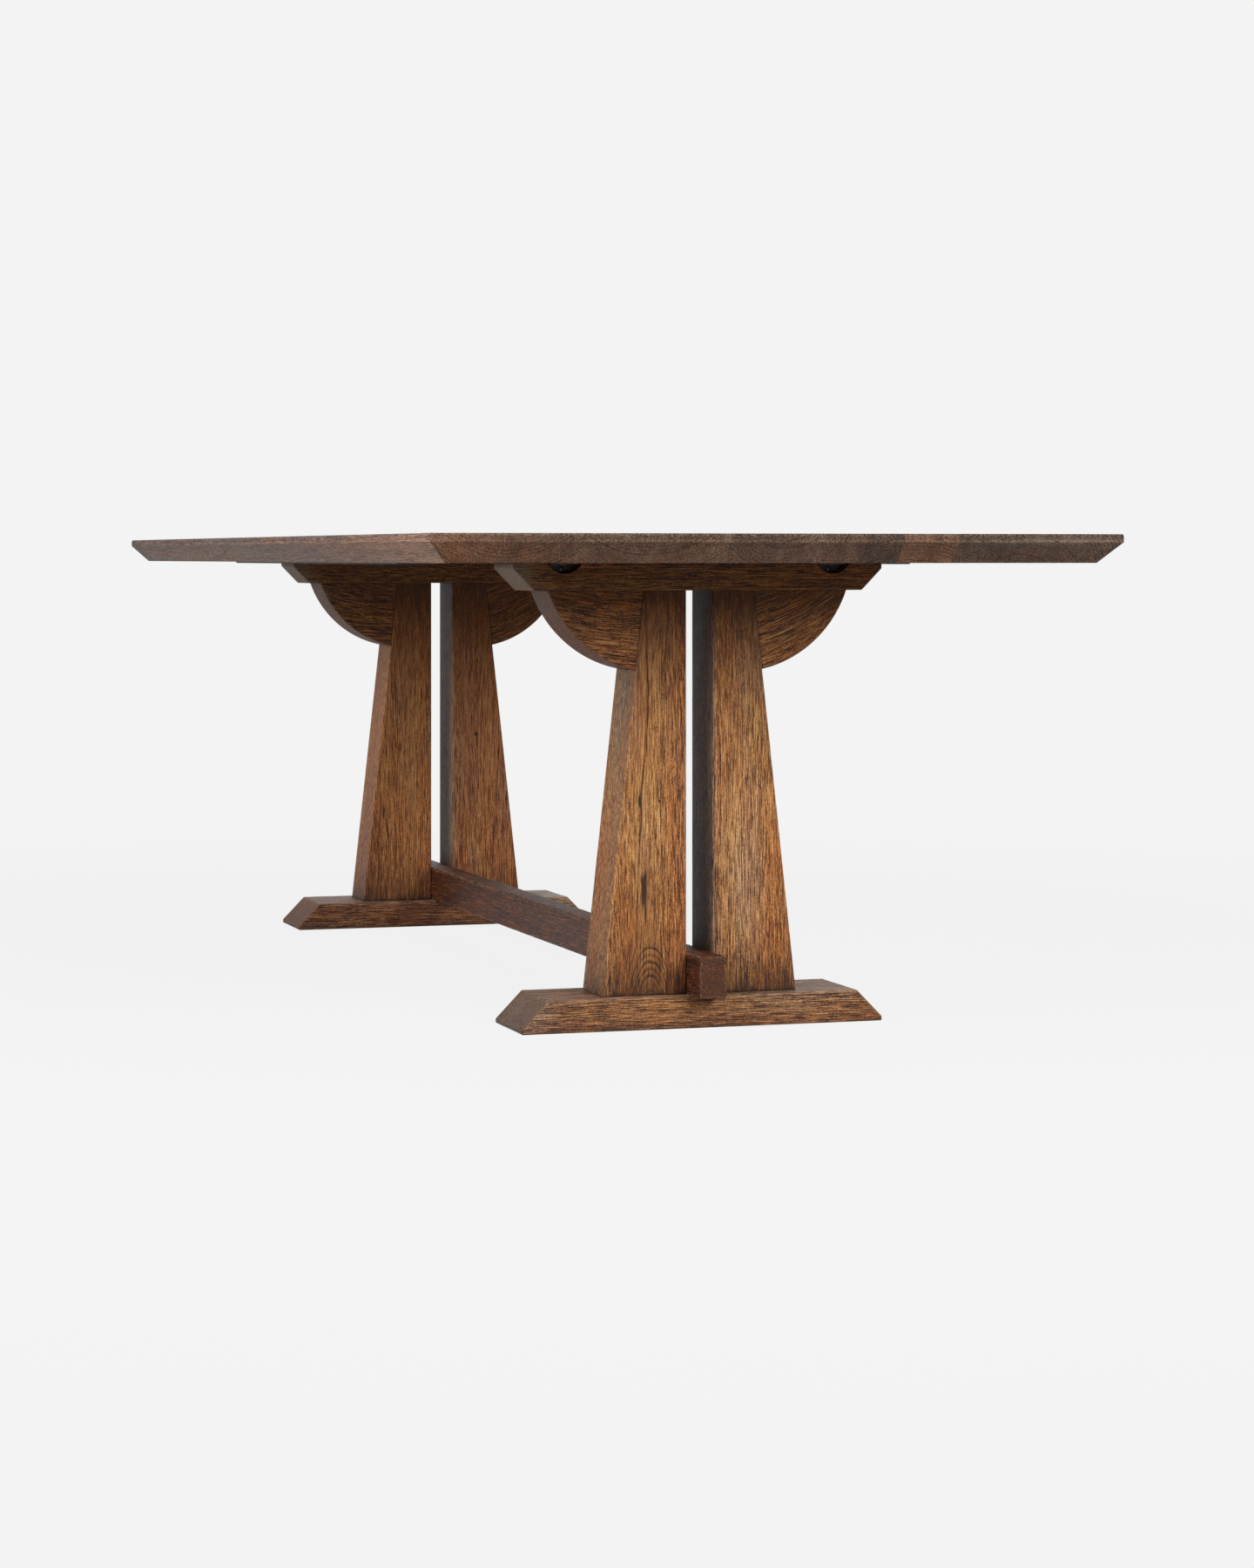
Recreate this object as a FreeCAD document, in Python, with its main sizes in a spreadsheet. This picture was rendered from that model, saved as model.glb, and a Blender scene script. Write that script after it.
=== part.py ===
import FreeCAD, Part
import math
import os
import Sketcher

# Trestle dining table in stained oak, in millimetres.
# X runs along the table, Y across it and Z up. The origin is on the floor under the middle of the top.
# Each trestle is drawn about its own middle plane and then moved along X to its place.

# Every size that can be set by itself
SIZES = {
    # Whole table
    "table_height": 762.0,
    "trestle_offset": 778.0,
    # Top
    "top_length": 2438.0,
    "top_width": 1070.0,
    "top_thickness": 43.0,
    "top_edge_band": 12.5,
    "top_bevel_run": 30.0,
    "top_arris": 2.5,
    # Seams between the boards of the top, measured from the middle line
    "seam_one": -310.0,
    "seam_two": -85.0,
    "seam_three": 124.0,
    "seam_four": 181.0,
    "seam_five": 268.0,
    # Two stiffening rails under the top; the spread is over their outer edges
    "rail_length": 1270.0,
    "rail_spread": 868.0,
    "rail_width": 40.0,
    "rail_thickness": 3.0,
    "rail_corner": 4.0,
    "rail_end_screw": 50.0,
    # Bearer
    "bearer_length": 605.0,
    "bearer_bottom_length": 538.0,
    "bearer_depth": 110.0,
    "bearer_height": 43.0,
    "bearer_tip": 9.0,
    # Posts
    "slot_width": 43.2,
    "post_top_width": 68.6,
    "post_foot_width": 138.0,
    "post_depth": 100.0,
    # Tenons at both ends of a post
    "tenon_thickness": 60.0,
    "tenon_shoulder": 12.0,
    "head_tenon_length": 26.0,
    "foot_tenon_length": 34.0,
    "foot_tenon_inset": 20.0,
    "mortise_clearance": 0.4,
    "mortise_spare_depth": 2.0,
    # Half-moon wings
    "arch_radius": 190.0,
    "arch_centre_out": 66.0,
    "arch_centre_rise": 63.0,
    "wing_depth": 97.0,
    # Foot
    "foot_length": 589.0,
    "foot_top_length": 504.5,
    "foot_depth": 150.0,
    "foot_height": 50.0,
    "foot_tip": 7.0,
    # Stretcher
    "stretcher_height": 64.0,
    "stretcher_clearance": 0.4,
    "stretcher_overhang": 65.0,
    "stretcher_arris": 1.5,
    # Slip tenons of the wings
    "slip_thickness": 14.0,
    "slip_reach": 24.0,
    "slip_clearance": 0.4,
    "upright_slip_width": 70.0,
    "upright_slip_inset": 25.0,
    "level_slip_height": 50.0,
    "level_slip_drop": 36.0,
    # Half-round recesses in the bearer
    "recess_radius": 32.0,
    "recess_fall": 17.0,
    "recess_depth": 24.0,
    "recess_offset": 220.0,
    # Half-moon brackets in the recesses
    "bracket_thickness": 2.5,
    "bracket_clearance": 1.5,
    "bracket_leaf_width": 44.0,
    "bracket_leaf_depth": 21.0,
    # Screws
    "screw_diameter": 4.5,
    "screw_head_diameter": 8.6,
    "screw_head_height": 2.4,
    "screw_length": 25.0,
    "screw_clearance": 0.3,
    "screw_drop": 10.5,
    "sunk_screw_length": 32.0,
    "sunk_head_diameter": 9.6,
    "sunk_clearance": 0.45,
    # Bolt of the stretcher at each foot
    "bolt_diameter": 8.0,
    "bolt_head_diameter": 17.0,
    "bolt_head_height": 3.5,
    "bolt_socket_width": 5.0,
    "bolt_socket_depth": 2.2,
    "bolt_reach": 22.0,
    "bolt_clearance": 0.3,
    "counterbore_depth": 15.0,
    "counterbore_clearance": 2.0,
    "insert_diameter": 12.0,
    "insert_length": 18.0,
    "insert_clearance": 0.3,
    # One overrun for every cut that passes right through
    "overrun": 2.0,
}


# Angles in degrees: the cone of a countersunk head, and a full turn
SUNK_ANGLE = 90
FULL_TURN = 360


class Size:
    """A value together with the spreadsheet formula that gives it."""

    def __init__(self, value, formula):
        self.value = value
        self.formula = formula

    def _join(self, other, sign, value):
        text = other.formula if isinstance(other, Size) else repr(other)
        return Size(value, "(%s %s %s)" % (self.formula, sign, text))

    def __add__(self, other):
        return self._join(other, "+", self.value + number(other))

    def __sub__(self, other):
        return self._join(other, "-", self.value - number(other))

    def __mul__(self, other):
        return self._join(other, "*", self.value * number(other))

    def __truediv__(self, other):
        return self._join(other, "/", self.value / number(other))

    def __neg__(self):
        return Size(-self.value, "(0 - %s)" % self.formula)


def number(thing):
    """The plain number in a size, or the number itself."""
    return thing.value if isinstance(thing, Size) else float(thing)


def root(area):
    """The square root of a product of sizes."""
    return Size(math.sqrt(area.value), "sqrt(%s)" % area.formula)


ZERO = Size(0.0, "0")

doc = FreeCAD.newDocument("TrestleTable")
sheet = doc.addObject("Spreadsheet::Sheet", "Sizes")
S = {}
for row, (name, value) in enumerate(SIZES.items(), start=1):
    sheet.set("A%d" % row, name)
    sheet.set("B%d" % row, str(value))
    sheet.setAlias("B%d" % row, name)
    S[name] = Size(value, "Sizes." + name)
doc.recompute()


# Drawing helpers
def new_body(label, move_x=ZERO):
    """An empty body, moved along the table by move_x."""
    body = doc.addObject("PartDesign::Body", label)
    body.Label = label
    body.Placement = FreeCAD.Placement(FreeCAD.Vector(move_x.value, 0, 0), FreeCAD.Rotation())
    body.setExpression("Placement.Base.x", move_x.formula)
    return body


def new_sketch(body, role, name, offset=ZERO):
    """A sketch on one of the body's own origin planes, lifted off it by offset."""
    sketch = body.newObject("Sketcher::SketchObject", name)
    plane = [item for item in body.Origin.OriginFeatures if item.Role == role][0]
    sketch.AttachmentSupport = [(plane, "")]
    sketch.MapMode = "FlatFace"
    sketch.AttachmentOffset = FreeCAD.Placement(FreeCAD.Vector(0, 0, offset.value), FreeCAD.Rotation())
    sketch.setExpression("AttachmentOffset.Base.z", offset.formula)
    return sketch


def fix(sketch, kind, index, point, size):
    """Bind one coordinate of a point, measured from the sketch's origin, to a size."""
    row = sketch.addConstraint(Sketcher.Constraint(kind, -1, 1, index, point, size.value))
    sketch.setExpression("Constraints[%d]" % row, size.formula)


def bind_radius(sketch, index, size):
    """Bind the radius of a circle or arc to a size."""
    row = sketch.addConstraint(Sketcher.Constraint("Radius", index, size.value))
    sketch.setExpression("Constraints[%d]" % row, size.formula)


def draw_outline(sketch, corners):
    """A closed outline of straight lines through corners given as pairs of sizes."""
    first = sketch.GeometryCount
    count = len(corners)
    for k in range(count):
        start = FreeCAD.Vector(corners[k][0].value, corners[k][1].value, 0)
        end = FreeCAD.Vector(corners[(k + 1) % count][0].value, corners[(k + 1) % count][1].value, 0)
        sketch.addGeometry(Part.LineSegment(start, end), False)
    for k in range(count):
        sketch.addConstraint(Sketcher.Constraint("Coincident", first + k, 2, first + (k + 1) % count, 1))
        fix(sketch, "DistanceX", first + k, 1, corners[k][0])
        fix(sketch, "DistanceY", first + k, 1, corners[k][1])


def draw_circle(sketch, across, up, radius):
    """A circle with its centre at (across, up)."""
    centre = FreeCAD.Vector(across.value, up.value, 0)
    index = sketch.addGeometry(Part.Circle(centre, FreeCAD.Vector(0, 0, 1), radius.value), False)
    fix(sketch, "DistanceX", index, 3, across)
    fix(sketch, "DistanceY", index, 3, up)
    bind_radius(sketch, index, radius)


def draw_arc(sketch, centre, radius, start, end):
    """An arc run anticlockwise from start to end; its ends are tied by the lines that meet it."""
    middle = FreeCAD.Vector(centre[0].value, centre[1].value, 0)
    circle = Part.Circle(middle, FreeCAD.Vector(0, 0, 1), radius.value)
    angles = []
    for point in (start, end):
        angles.append(math.atan2(point[1].value - middle.y, point[0].value - middle.x))
    index = sketch.addGeometry(Part.ArcOfCircle(circle, angles[0], angles[1]), False)
    fix(sketch, "DistanceX", index, 3, centre[0])
    fix(sketch, "DistanceY", index, 3, centre[1])
    bind_radius(sketch, index, radius)
    return index


def draw_line(sketch, start, end):
    """A straight line between two points given as pairs of sizes, not yet tied to them."""
    return sketch.addGeometry(
        Part.LineSegment(
            FreeCAD.Vector(start[0].value, start[1].value, 0),
            FreeCAD.Vector(end[0].value, end[1].value, 0),
        ),
        False,
    )


def pad(body, sketch, name, length, both_ways=False, backwards=False):
    """Raise a sketch into a solid."""
    feature = body.newObject("PartDesign::Pad", name)
    feature.Profile = sketch
    feature.Length = length.value
    feature.setExpression("Length", length.formula)
    feature.SideType = "Symmetric" if both_ways else "One side"
    feature.Reversed = backwards
    body.Tip = feature
    return feature


def pocket(body, sketch, name, depth, both_ways=False, backwards=False):
    """Cut a sketch into the solid, and make sure that it took some away."""
    doc.recompute()
    before = body.Shape.Volume
    feature = body.newObject("PartDesign::Pocket", name)
    feature.Profile = sketch
    feature.Length = depth.value
    feature.setExpression("Length", depth.formula)
    feature.SideType = "Symmetric" if both_ways else "One side"
    feature.Reversed = backwards
    body.Tip = feature
    doc.recompute()
    if not body.Shape.Volume < before:
        raise RuntimeError("%s cut nothing from %s" % (name, body.Label))
    return feature


def turned(body, name, role, foot, upright, outline, offset=ZERO):
    """A turned piece: outline pairs are (distance from the axis, distance along it from foot)."""
    sketch = new_sketch(body, role, name + "Outline", offset)
    corners = []
    for out, along in outline:
        if upright:
            corners.append((foot[0] + out, foot[1] + along))
        else:
            corners.append((foot[0] + along, foot[1] + out))
    draw_outline(sketch, corners)
    reach = outline[-1][1]
    tip = (foot[0], foot[1] + reach) if upright else (foot[0] + reach, foot[1])
    axis = draw_line(sketch, foot, tip)
    sketch.setConstruction(axis, True)
    for point, place in ((1, foot), (2, tip)):
        fix(sketch, "DistanceX", axis, point, place[0])
        fix(sketch, "DistanceY", axis, point, place[1])
    feature = body.newObject("PartDesign::Revolution", name)
    feature.Profile = sketch
    feature.ReferenceAxis = (sketch, ["Axis0"])
    feature.Angle = FULL_TURN
    body.Tip = feature
    return feature


def mirror(body, name, originals, roles):
    """Repeat features across one or more of the body's own middle planes."""
    planes = [item for item in body.Origin.OriginFeatures if item.Role in roles]
    multi = body.newObject("PartDesign::MultiTransform", name)
    multi.Originals = originals
    steps = []
    for k, plane in enumerate(planes):
        step = body.newObject("PartDesign::Mirrored", "%sStep%d" % (name, k))
        step.MirrorPlane = (plane, [""])
        steps.append(step)
    multi.Transformations = steps
    body.Tip = multi
    return multi


# Levels and places shared by several pieces
top_underside = S["table_height"] - S["top_thickness"]
rail_foot = top_underside - S["rail_thickness"]
bearer_underside = top_underside - S["bearer_height"]
foot_top = S["foot_height"]
slot_side = S["slot_width"] / 2
post_head_outer = slot_side + S["post_top_width"]
post_foot_outer = slot_side + S["post_foot_width"]
post_lean = (post_foot_outer - post_head_outer) / (bearer_underside - foot_top)
bearer_side = S["bearer_depth"] / 2
recess_wall = bearer_side - S["recess_depth"]
recess_centre = top_underside + (S["recess_radius"] - S["recess_fall"])
screw_hole = S["screw_diameter"] / 2 + S["screw_clearance"]
bolt_hole = S["bolt_diameter"] / 2 + S["bolt_clearance"]

# Slip tenons of a wing: the upright one enters the bearer and the level one enters the post
upright_slip_near = post_head_outer + S["upright_slip_inset"]
upright_slip_far = upright_slip_near + S["upright_slip_width"]
level_slip_top = bearer_underside - S["level_slip_drop"]
level_slip_foot = level_slip_top - S["level_slip_height"]
level_slip_middle = post_head_outer + post_lean * (S["level_slip_drop"] + S["level_slip_height"] / 2)
slip_fit = S["slip_clearance"]
slip_mortise_width = S["slip_thickness"] + slip_fit * 2

# Tenons: the sides of each, measured across the table
head_tenon = (slot_side + S["tenon_shoulder"], post_head_outer - S["tenon_shoulder"])
foot_tenon = (slot_side + S["foot_tenon_inset"], post_foot_outer - S["foot_tenon_inset"])

# Screws of the rails: one near each end and one in the middle
rail_outer = S["rail_spread"] / 2
rail_middle = rail_outer - S["rail_width"] / 2
rail_end = S["rail_length"] / 2 - S["rail_end_screw"]
rail_screw_places = [-rail_end, ZERO, rail_end]

# Bracket screws that go up into the top stand this far out from the trestle's middle plane
bracket_screw_out = recess_wall + S["bracket_leaf_depth"] / 2 + S["bracket_thickness"] / 2


def rectangle(left, bottom, right, top):
    """The corners of an upright rectangle."""
    return [(left, bottom), (right, bottom), (right, top), (left, top)]


def cut_slips(body, name, boxes):
    """Mortises for slip tenons, as rectangles seen from the trestle's end."""
    sketch = new_sketch(body, "YZ_Plane", name + "Outline")
    for box in boxes:
        draw_outline(sketch, rectangle(*box))
    pocket(body, sketch, name, slip_mortise_width, both_ways=True)


# Boards of the top: the bevelled ends are in each board's outline, the long bevels in the outer two
def build_board(label, low, high, bevel_side):
    half = S["top_length"] / 2
    band_foot = S["table_height"] - S["top_edge_band"]
    inner = half - S["top_bevel_run"]
    softened = half - S["top_arris"]
    body = new_body(label)
    sketch = new_sketch(body, "XZ_Plane", label + "Outline", -low)
    draw_outline(sketch, [
        (-inner, top_underside),
        (inner, top_underside),
        (half, band_foot),
        (half, S["table_height"] - S["top_arris"]),
        (softened, S["table_height"]),
        (-softened, S["table_height"]),
        (-half, S["table_height"] - S["top_arris"]),
        (-half, band_foot),
    ])
    pad(body, sketch, label + "Board", high - low, backwards=True)
    if bevel_side:
        edge = S["top_width"] / 2 * bevel_side
        inside = edge - S["top_bevel_run"] * bevel_side
        beyond = edge + S["overrun"] * bevel_side
        fall = S["overrun"]
        slope = (band_foot - top_underside) / S["top_bevel_run"]
        bevel = new_sketch(body, "YZ_Plane", label + "Bevel")
        draw_outline(bevel, [
            (inside, top_underside),
            (inside - fall / slope * bevel_side, top_underside - fall),
            (beyond, top_underside - fall),
            (beyond, band_foot + slope * S["overrun"]),
        ])
        cut_length = S["top_length"] + S["overrun"] * 2
        pocket(body, bevel, label + "BevelCut", cut_length, both_ways=True)
        arris = new_sketch(body, "YZ_Plane", label + "Arris")
        draw_outline(arris, [
            (edge, S["table_height"] - S["top_arris"]),
            (beyond, S["table_height"] - S["top_arris"] - S["overrun"]),
            (beyond, S["table_height"] + S["overrun"]),
            (edge - (S["top_arris"] + S["overrun"]) * bevel_side, S["table_height"] + S["overrun"]),
        ])
        pocket(body, arris, label + "ArrisCut", cut_length, both_ways=True)
    drill_board(body, label, low, high)
    return body


def drill_board(body, label, low, high):
    """Blind holes for every screw whose place falls in this board."""
    holes = []
    for side in (-1, 1):
        for along in rail_screw_places:
            holes.append((along, rail_middle * side))
    rail_holes = [hole for hole in holes if reaches(hole[1], low, high)]
    holes = []
    for end in (-1, 1):
        for side in (-1, 1):
            holes.append(((S["trestle_offset"] + bracket_screw_out) * end, S["recess_offset"] * side))
    bracket_holes = [hole for hole in holes if reaches(hole[1], low, high)]
    rail_depth = S["sunk_screw_length"] - S["rail_thickness"] + S["screw_clearance"]
    bracket_depth = S["screw_length"] - S["bracket_thickness"] + S["screw_clearance"]
    for kind, places, depth in (("Rail", rail_holes, rail_depth), ("Bracket", bracket_holes, bracket_depth)):
        if places:
            sketch = new_sketch(body, "XY_Plane", label + kind + "Holes", top_underside)
            for along, across in places:
                draw_circle(sketch, along, across, screw_hole)
            pocket(body, sketch, label + kind + "Drilling", depth, backwards=True)


def reaches(place, low, high):
    """Whether a screw hole at this place across the table touches the board between low and high."""
    return low.value - screw_hole.value < place.value < high.value + screw_hole.value


# Rail under the top along each side, with clipped corners, drilled and countersunk for its screws
def build_rail(label, side):
    body = new_body(label)
    sketch = new_sketch(body, "XY_Plane", label + "Outline", rail_foot)
    half_length = S["rail_length"] / 2
    outer = rail_outer * side
    inner = (rail_outer - S["rail_width"]) * side
    cut = S["rail_corner"]
    draw_outline(sketch, [
        (-half_length + cut, outer),
        (half_length - cut, outer),
        (half_length, outer - cut * side),
        (half_length, inner + cut * side),
        (half_length - cut, inner),
        (-half_length + cut, inner),
        (-half_length, inner + cut * side),
        (-half_length, outer - cut * side),
    ])
    pad(body, sketch, label + "Bar", S["rail_thickness"])
    holes = new_sketch(body, "XY_Plane", label + "HolePlaces", rail_foot)
    for along in rail_screw_places:
        draw_circle(holes, along, rail_middle * side, screw_hole)
    doc.recompute()
    before = body.Shape.Volume
    hole = body.newObject("PartDesign::Hole", label + "Holes")
    hole.Profile = holes
    hole.DepthType = "ThroughAll"
    hole.Diameter = screw_hole.value * 2
    hole.setExpression("Diameter", (screw_hole * 2).formula)
    hole.HoleCutType = "Countersink"
    hole.HoleCutCustomValues = True
    cut_diameter = S["sunk_head_diameter"] + S["sunk_clearance"] * 2
    hole.HoleCutDiameter = cut_diameter.value
    hole.setExpression("HoleCutDiameter", cut_diameter.formula)
    hole.HoleCutCountersinkAngle = SUNK_ANGLE
    hole.Reversed = True
    body.Tip = hole
    doc.recompute()
    if not body.Shape.Volume < before:
        raise RuntimeError("the rail's holes cut nothing")
    return body


# Countersunk screws of a rail, heads flush with its lower face
def build_rail_screws(label, side):
    body = new_body(label)
    head = S["sunk_head_diameter"] / 2
    shank = S["screw_diameter"] / 2
    neck = head - shank
    for k, along in enumerate(rail_screw_places):
        turned(body, "%s%d" % (label, k), "XZ_Plane", (along, rail_foot), True, [
            (ZERO, ZERO),
            (head, ZERO),
            (shank, neck),
            (shank, S["sunk_screw_length"]),
            (ZERO, S["sunk_screw_length"]),
        ], -(rail_middle * side))
    return body


# Bearer: slanted ends with blunt tips, two half-round recesses in its outward face, and its mortises
def build_bearer(label, move_x, end):
    body = new_body(label, move_x)
    sketch = new_sketch(body, "YZ_Plane", label + "Outline")
    half = S["bearer_length"] / 2
    low_half = S["bearer_bottom_length"] / 2
    tip_foot = top_underside - S["bearer_tip"]
    draw_outline(sketch, [
        (-low_half, bearer_underside),
        (low_half, bearer_underside),
        (half, tip_foot),
        (half, top_underside),
        (-half, top_underside),
        (-half, tip_foot),
    ])
    pad(body, sketch, label + "Board", S["bearer_depth"], both_ways=True)
    recess = new_sketch(body, "YZ_Plane", label + "Recess", bearer_side * end)
    holes = new_sketch(body, "YZ_Plane", label + "ScrewHoles", recess_wall * end)
    for side in (-1, 1):
        across = S["recess_offset"] * side
        draw_circle(recess, across, recess_centre, S["recess_radius"])
        draw_circle(holes, across, top_underside - S["screw_drop"], screw_hole)
    pocket(body, recess, label + "RecessCut", S["recess_depth"], backwards=end < 0)
    hole_depth = S["screw_length"] - S["bracket_thickness"] + S["screw_clearance"]
    pocket(body, holes, label + "ScrewDrilling", hole_depth, backwards=end < 0)
    cut_mortises(body, label, bearer_underside, head_tenon, S["head_tenon_length"], True)
    boxes = []
    for side in (-1, 1):
        near = (upright_slip_near - slip_fit) * side
        far = (upright_slip_far + slip_fit) * side
        top = bearer_underside + S["slip_reach"] + slip_fit
        boxes.append((near, bearer_underside - S["overrun"], far, top))
    cut_slips(body, label + "SlipMortises", boxes)
    return body


def cut_mortises(body, label, level, tenon, tenon_length, upwards):
    """A mortise for each post's tenon, from a level face into the bearer or the foot."""
    sketch = new_sketch(body, "XY_Plane", label + "Mortises", level)
    half = S["tenon_thickness"] / 2 + S["mortise_clearance"]
    for side in (-1, 1):
        inner = (tenon[0] - S["mortise_clearance"]) * side
        outer = (tenon[1] + S["mortise_clearance"]) * side
        draw_outline(sketch, rectangle(-half, inner, half, outer))
    pocket(body, sketch, label + "MortiseCut", tenon_length + S["mortise_spare_depth"], backwards=upwards)


# Post: upright inside edge, slanted outside edge, a tenon at each end and a mortise for its wing
def build_post(label, move_x, side):
    body = new_body(label, move_x)
    sketch = new_sketch(body, "YZ_Plane", label + "Outline")
    draw_outline(sketch, [
        (slot_side * side, foot_top),
        (post_foot_outer * side, foot_top),
        (post_head_outer * side, bearer_underside),
        (slot_side * side, bearer_underside),
    ])
    pad(body, sketch, label + "Blank", S["post_depth"], both_ways=True)
    half = S["tenon_thickness"] / 2
    for name, level, tenon, length, down in (
        ("Head", bearer_underside, head_tenon, S["head_tenon_length"], False),
        ("Foot", foot_top, foot_tenon, S["foot_tenon_length"], True),
    ):
        section = new_sketch(body, "XY_Plane", label + name + "Tenon", level)
        draw_outline(section, rectangle(-half, tenon[0] * side, half, tenon[1] * side))
        pad(body, section, label + name + "TenonPad", length, backwards=down)
    bottom = (level_slip_middle - S["slip_reach"] - slip_fit) * side
    mouth = (level_slip_middle + S["slip_reach"]) * side
    cut_slips(body, label + "SlipMortise", [
        (bottom, level_slip_foot - slip_fit, mouth, level_slip_top + slip_fit),
    ])
    return body


# Wing: the level edge under the bearer, the slanted edge on the post and one arc between them
def build_wing(label, move_x, side):
    body = new_body(label, move_x)
    radius = S["arch_radius"]
    rise = S["arch_centre_rise"]
    out = S["arch_centre_out"]
    outer = (out + root(radius * radius - rise * rise), bearer_underside)
    inner = (post_head_outer, bearer_underside)
    # The arc meets the post's slanted edge at this drop below the bearer
    aside = post_head_outer - out
    spread = post_lean * post_lean + 1
    lead = post_lean * aside + rise
    reach = root(lead * lead - spread * (aside * aside + rise * rise - radius * radius))
    drop = (reach - lead) / spread
    low = (post_head_outer + post_lean * drop, bearer_underside - drop)
    sketch = new_sketch(body, "YZ_Plane", label + "Outline")
    points = [(point[0] * side, point[1]) for point in (outer, inner, low)]
    top_line = draw_line(sketch, points[0], points[1])
    post_line = draw_line(sketch, points[1], points[2])
    arc_ends = (points[2], points[0]) if side > 0 else (points[0], points[2])
    arc = draw_arc(sketch, (out * side, bearer_underside + rise), radius, arc_ends[0], arc_ends[1])
    sketch.addConstraint(Sketcher.Constraint("Coincident", top_line, 2, post_line, 1))
    sketch.addConstraint(Sketcher.Constraint("Coincident", post_line, 2, arc, 1 if side > 0 else 2))
    sketch.addConstraint(Sketcher.Constraint("Coincident", top_line, 1, arc, 2 if side > 0 else 1))
    fix(sketch, "DistanceX", top_line, 2, points[1][0])
    fix(sketch, "DistanceY", top_line, 2, points[1][1])
    fix(sketch, "DistanceX", post_line, 2, points[2][0])
    fix(sketch, "DistanceY", top_line, 1, points[0][1])
    pad(body, sketch, label + "Blank", S["wing_depth"], both_ways=True)
    mouth = (level_slip_middle - S["slip_reach"]) * side
    bottom = (level_slip_middle + S["slip_reach"] + slip_fit) * side
    near = (upright_slip_near - slip_fit) * side
    far = (upright_slip_far + slip_fit) * side
    floor = bearer_underside - S["slip_reach"]
    cut_slips(body, label + "SlipMortises", [
        (near, floor, far, bearer_underside + S["overrun"]),
        (mouth, level_slip_foot - slip_fit, bottom, level_slip_top + slip_fit),
    ])
    return body


# Slip tenons: from each wing one goes up into the bearer and one across into the post
def build_slips(label, move_x):
    body = new_body(label, move_x)
    sketch = new_sketch(body, "YZ_Plane", label + "Outline")
    reach = S["slip_reach"]
    draw_outline(sketch, rectangle(
        upright_slip_near, bearer_underside - reach, upright_slip_far, bearer_underside + reach))
    draw_outline(sketch, rectangle(
        level_slip_middle - reach, level_slip_foot, level_slip_middle + reach, level_slip_top))
    slips = pad(body, sketch, label + "Right", S["slip_thickness"], both_ways=True)
    mirror(body, label + "Both", [slips], ("XZ_Plane",))
    return body


# Foot: slanted ends with blunt tips, two mortises, and a counterbored hole for the stretcher's bolt
def build_foot(label, move_x):
    body = new_body(label, move_x)
    sketch = new_sketch(body, "YZ_Plane", label + "Outline")
    half = S["foot_length"] / 2
    high_half = S["foot_top_length"] / 2
    draw_outline(sketch, [
        (-half, ZERO),
        (half, ZERO),
        (half, S["foot_tip"]),
        (high_half, foot_top),
        (-high_half, foot_top),
        (-half, S["foot_tip"]),
    ])
    pad(body, sketch, label + "Board", S["foot_depth"], both_ways=True)
    cut_mortises(body, label, foot_top, foot_tenon, S["foot_tenon_length"], False)
    bore = new_sketch(body, "XY_Plane", label + "Counterbore")
    draw_circle(bore, ZERO, ZERO, S["bolt_head_diameter"] / 2 + S["counterbore_clearance"])
    pocket(body, bore, label + "CounterboreCut", S["counterbore_depth"], backwards=True)
    hole = new_sketch(body, "XY_Plane", label + "BoltHole", S["counterbore_depth"] - S["overrun"])
    draw_circle(hole, ZERO, ZERO, bolt_hole)
    through = foot_top - S["counterbore_depth"] + S["overrun"] * 2
    pocket(body, hole, label + "BoltDrilling", through, backwards=True)
    return body


# Stretcher: a beam on edge through both slots, bored underneath for the inserts
def build_stretcher(label):
    body = new_body(label)
    half_length = S["trestle_offset"] + S["post_depth"] / 2 + S["stretcher_overhang"]
    half_width = slot_side - S["stretcher_clearance"]
    top = foot_top + S["stretcher_height"]
    arris = S["stretcher_arris"]
    sketch = new_sketch(body, "YZ_Plane", label + "Section")
    draw_outline(sketch, [
        (-half_width, foot_top),
        (half_width, foot_top),
        (half_width, top - arris),
        (half_width - arris, top),
        (-half_width + arris, top),
        (-half_width, top - arris),
    ])
    pad(body, sketch, label + "Beam", half_length * 2, both_ways=True)
    bores = new_sketch(body, "XY_Plane", label + "Bores", foot_top)
    bore = S["insert_diameter"] / 2 + S["insert_clearance"]
    for end in (-1, 1):
        draw_circle(bores, S["trestle_offset"] * end, ZERO, bore)
    bolt_top = S["bolt_reach"] + S["bolt_clearance"]
    pocket(body, bores, label + "BoreCut", bolt_top, backwards=True)
    return body


# Threaded insert in the stretcher's underside, its lower face level with it
def build_insert(label, move_x):
    body = new_body(label, move_x)
    sketch = new_sketch(body, "XY_Plane", label + "Ring", foot_top)
    draw_circle(sketch, ZERO, ZERO, S["insert_diameter"] / 2)
    draw_circle(sketch, ZERO, ZERO, bolt_hole)
    pad(body, sketch, label + "Sleeve", S["insert_length"])
    return body


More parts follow.
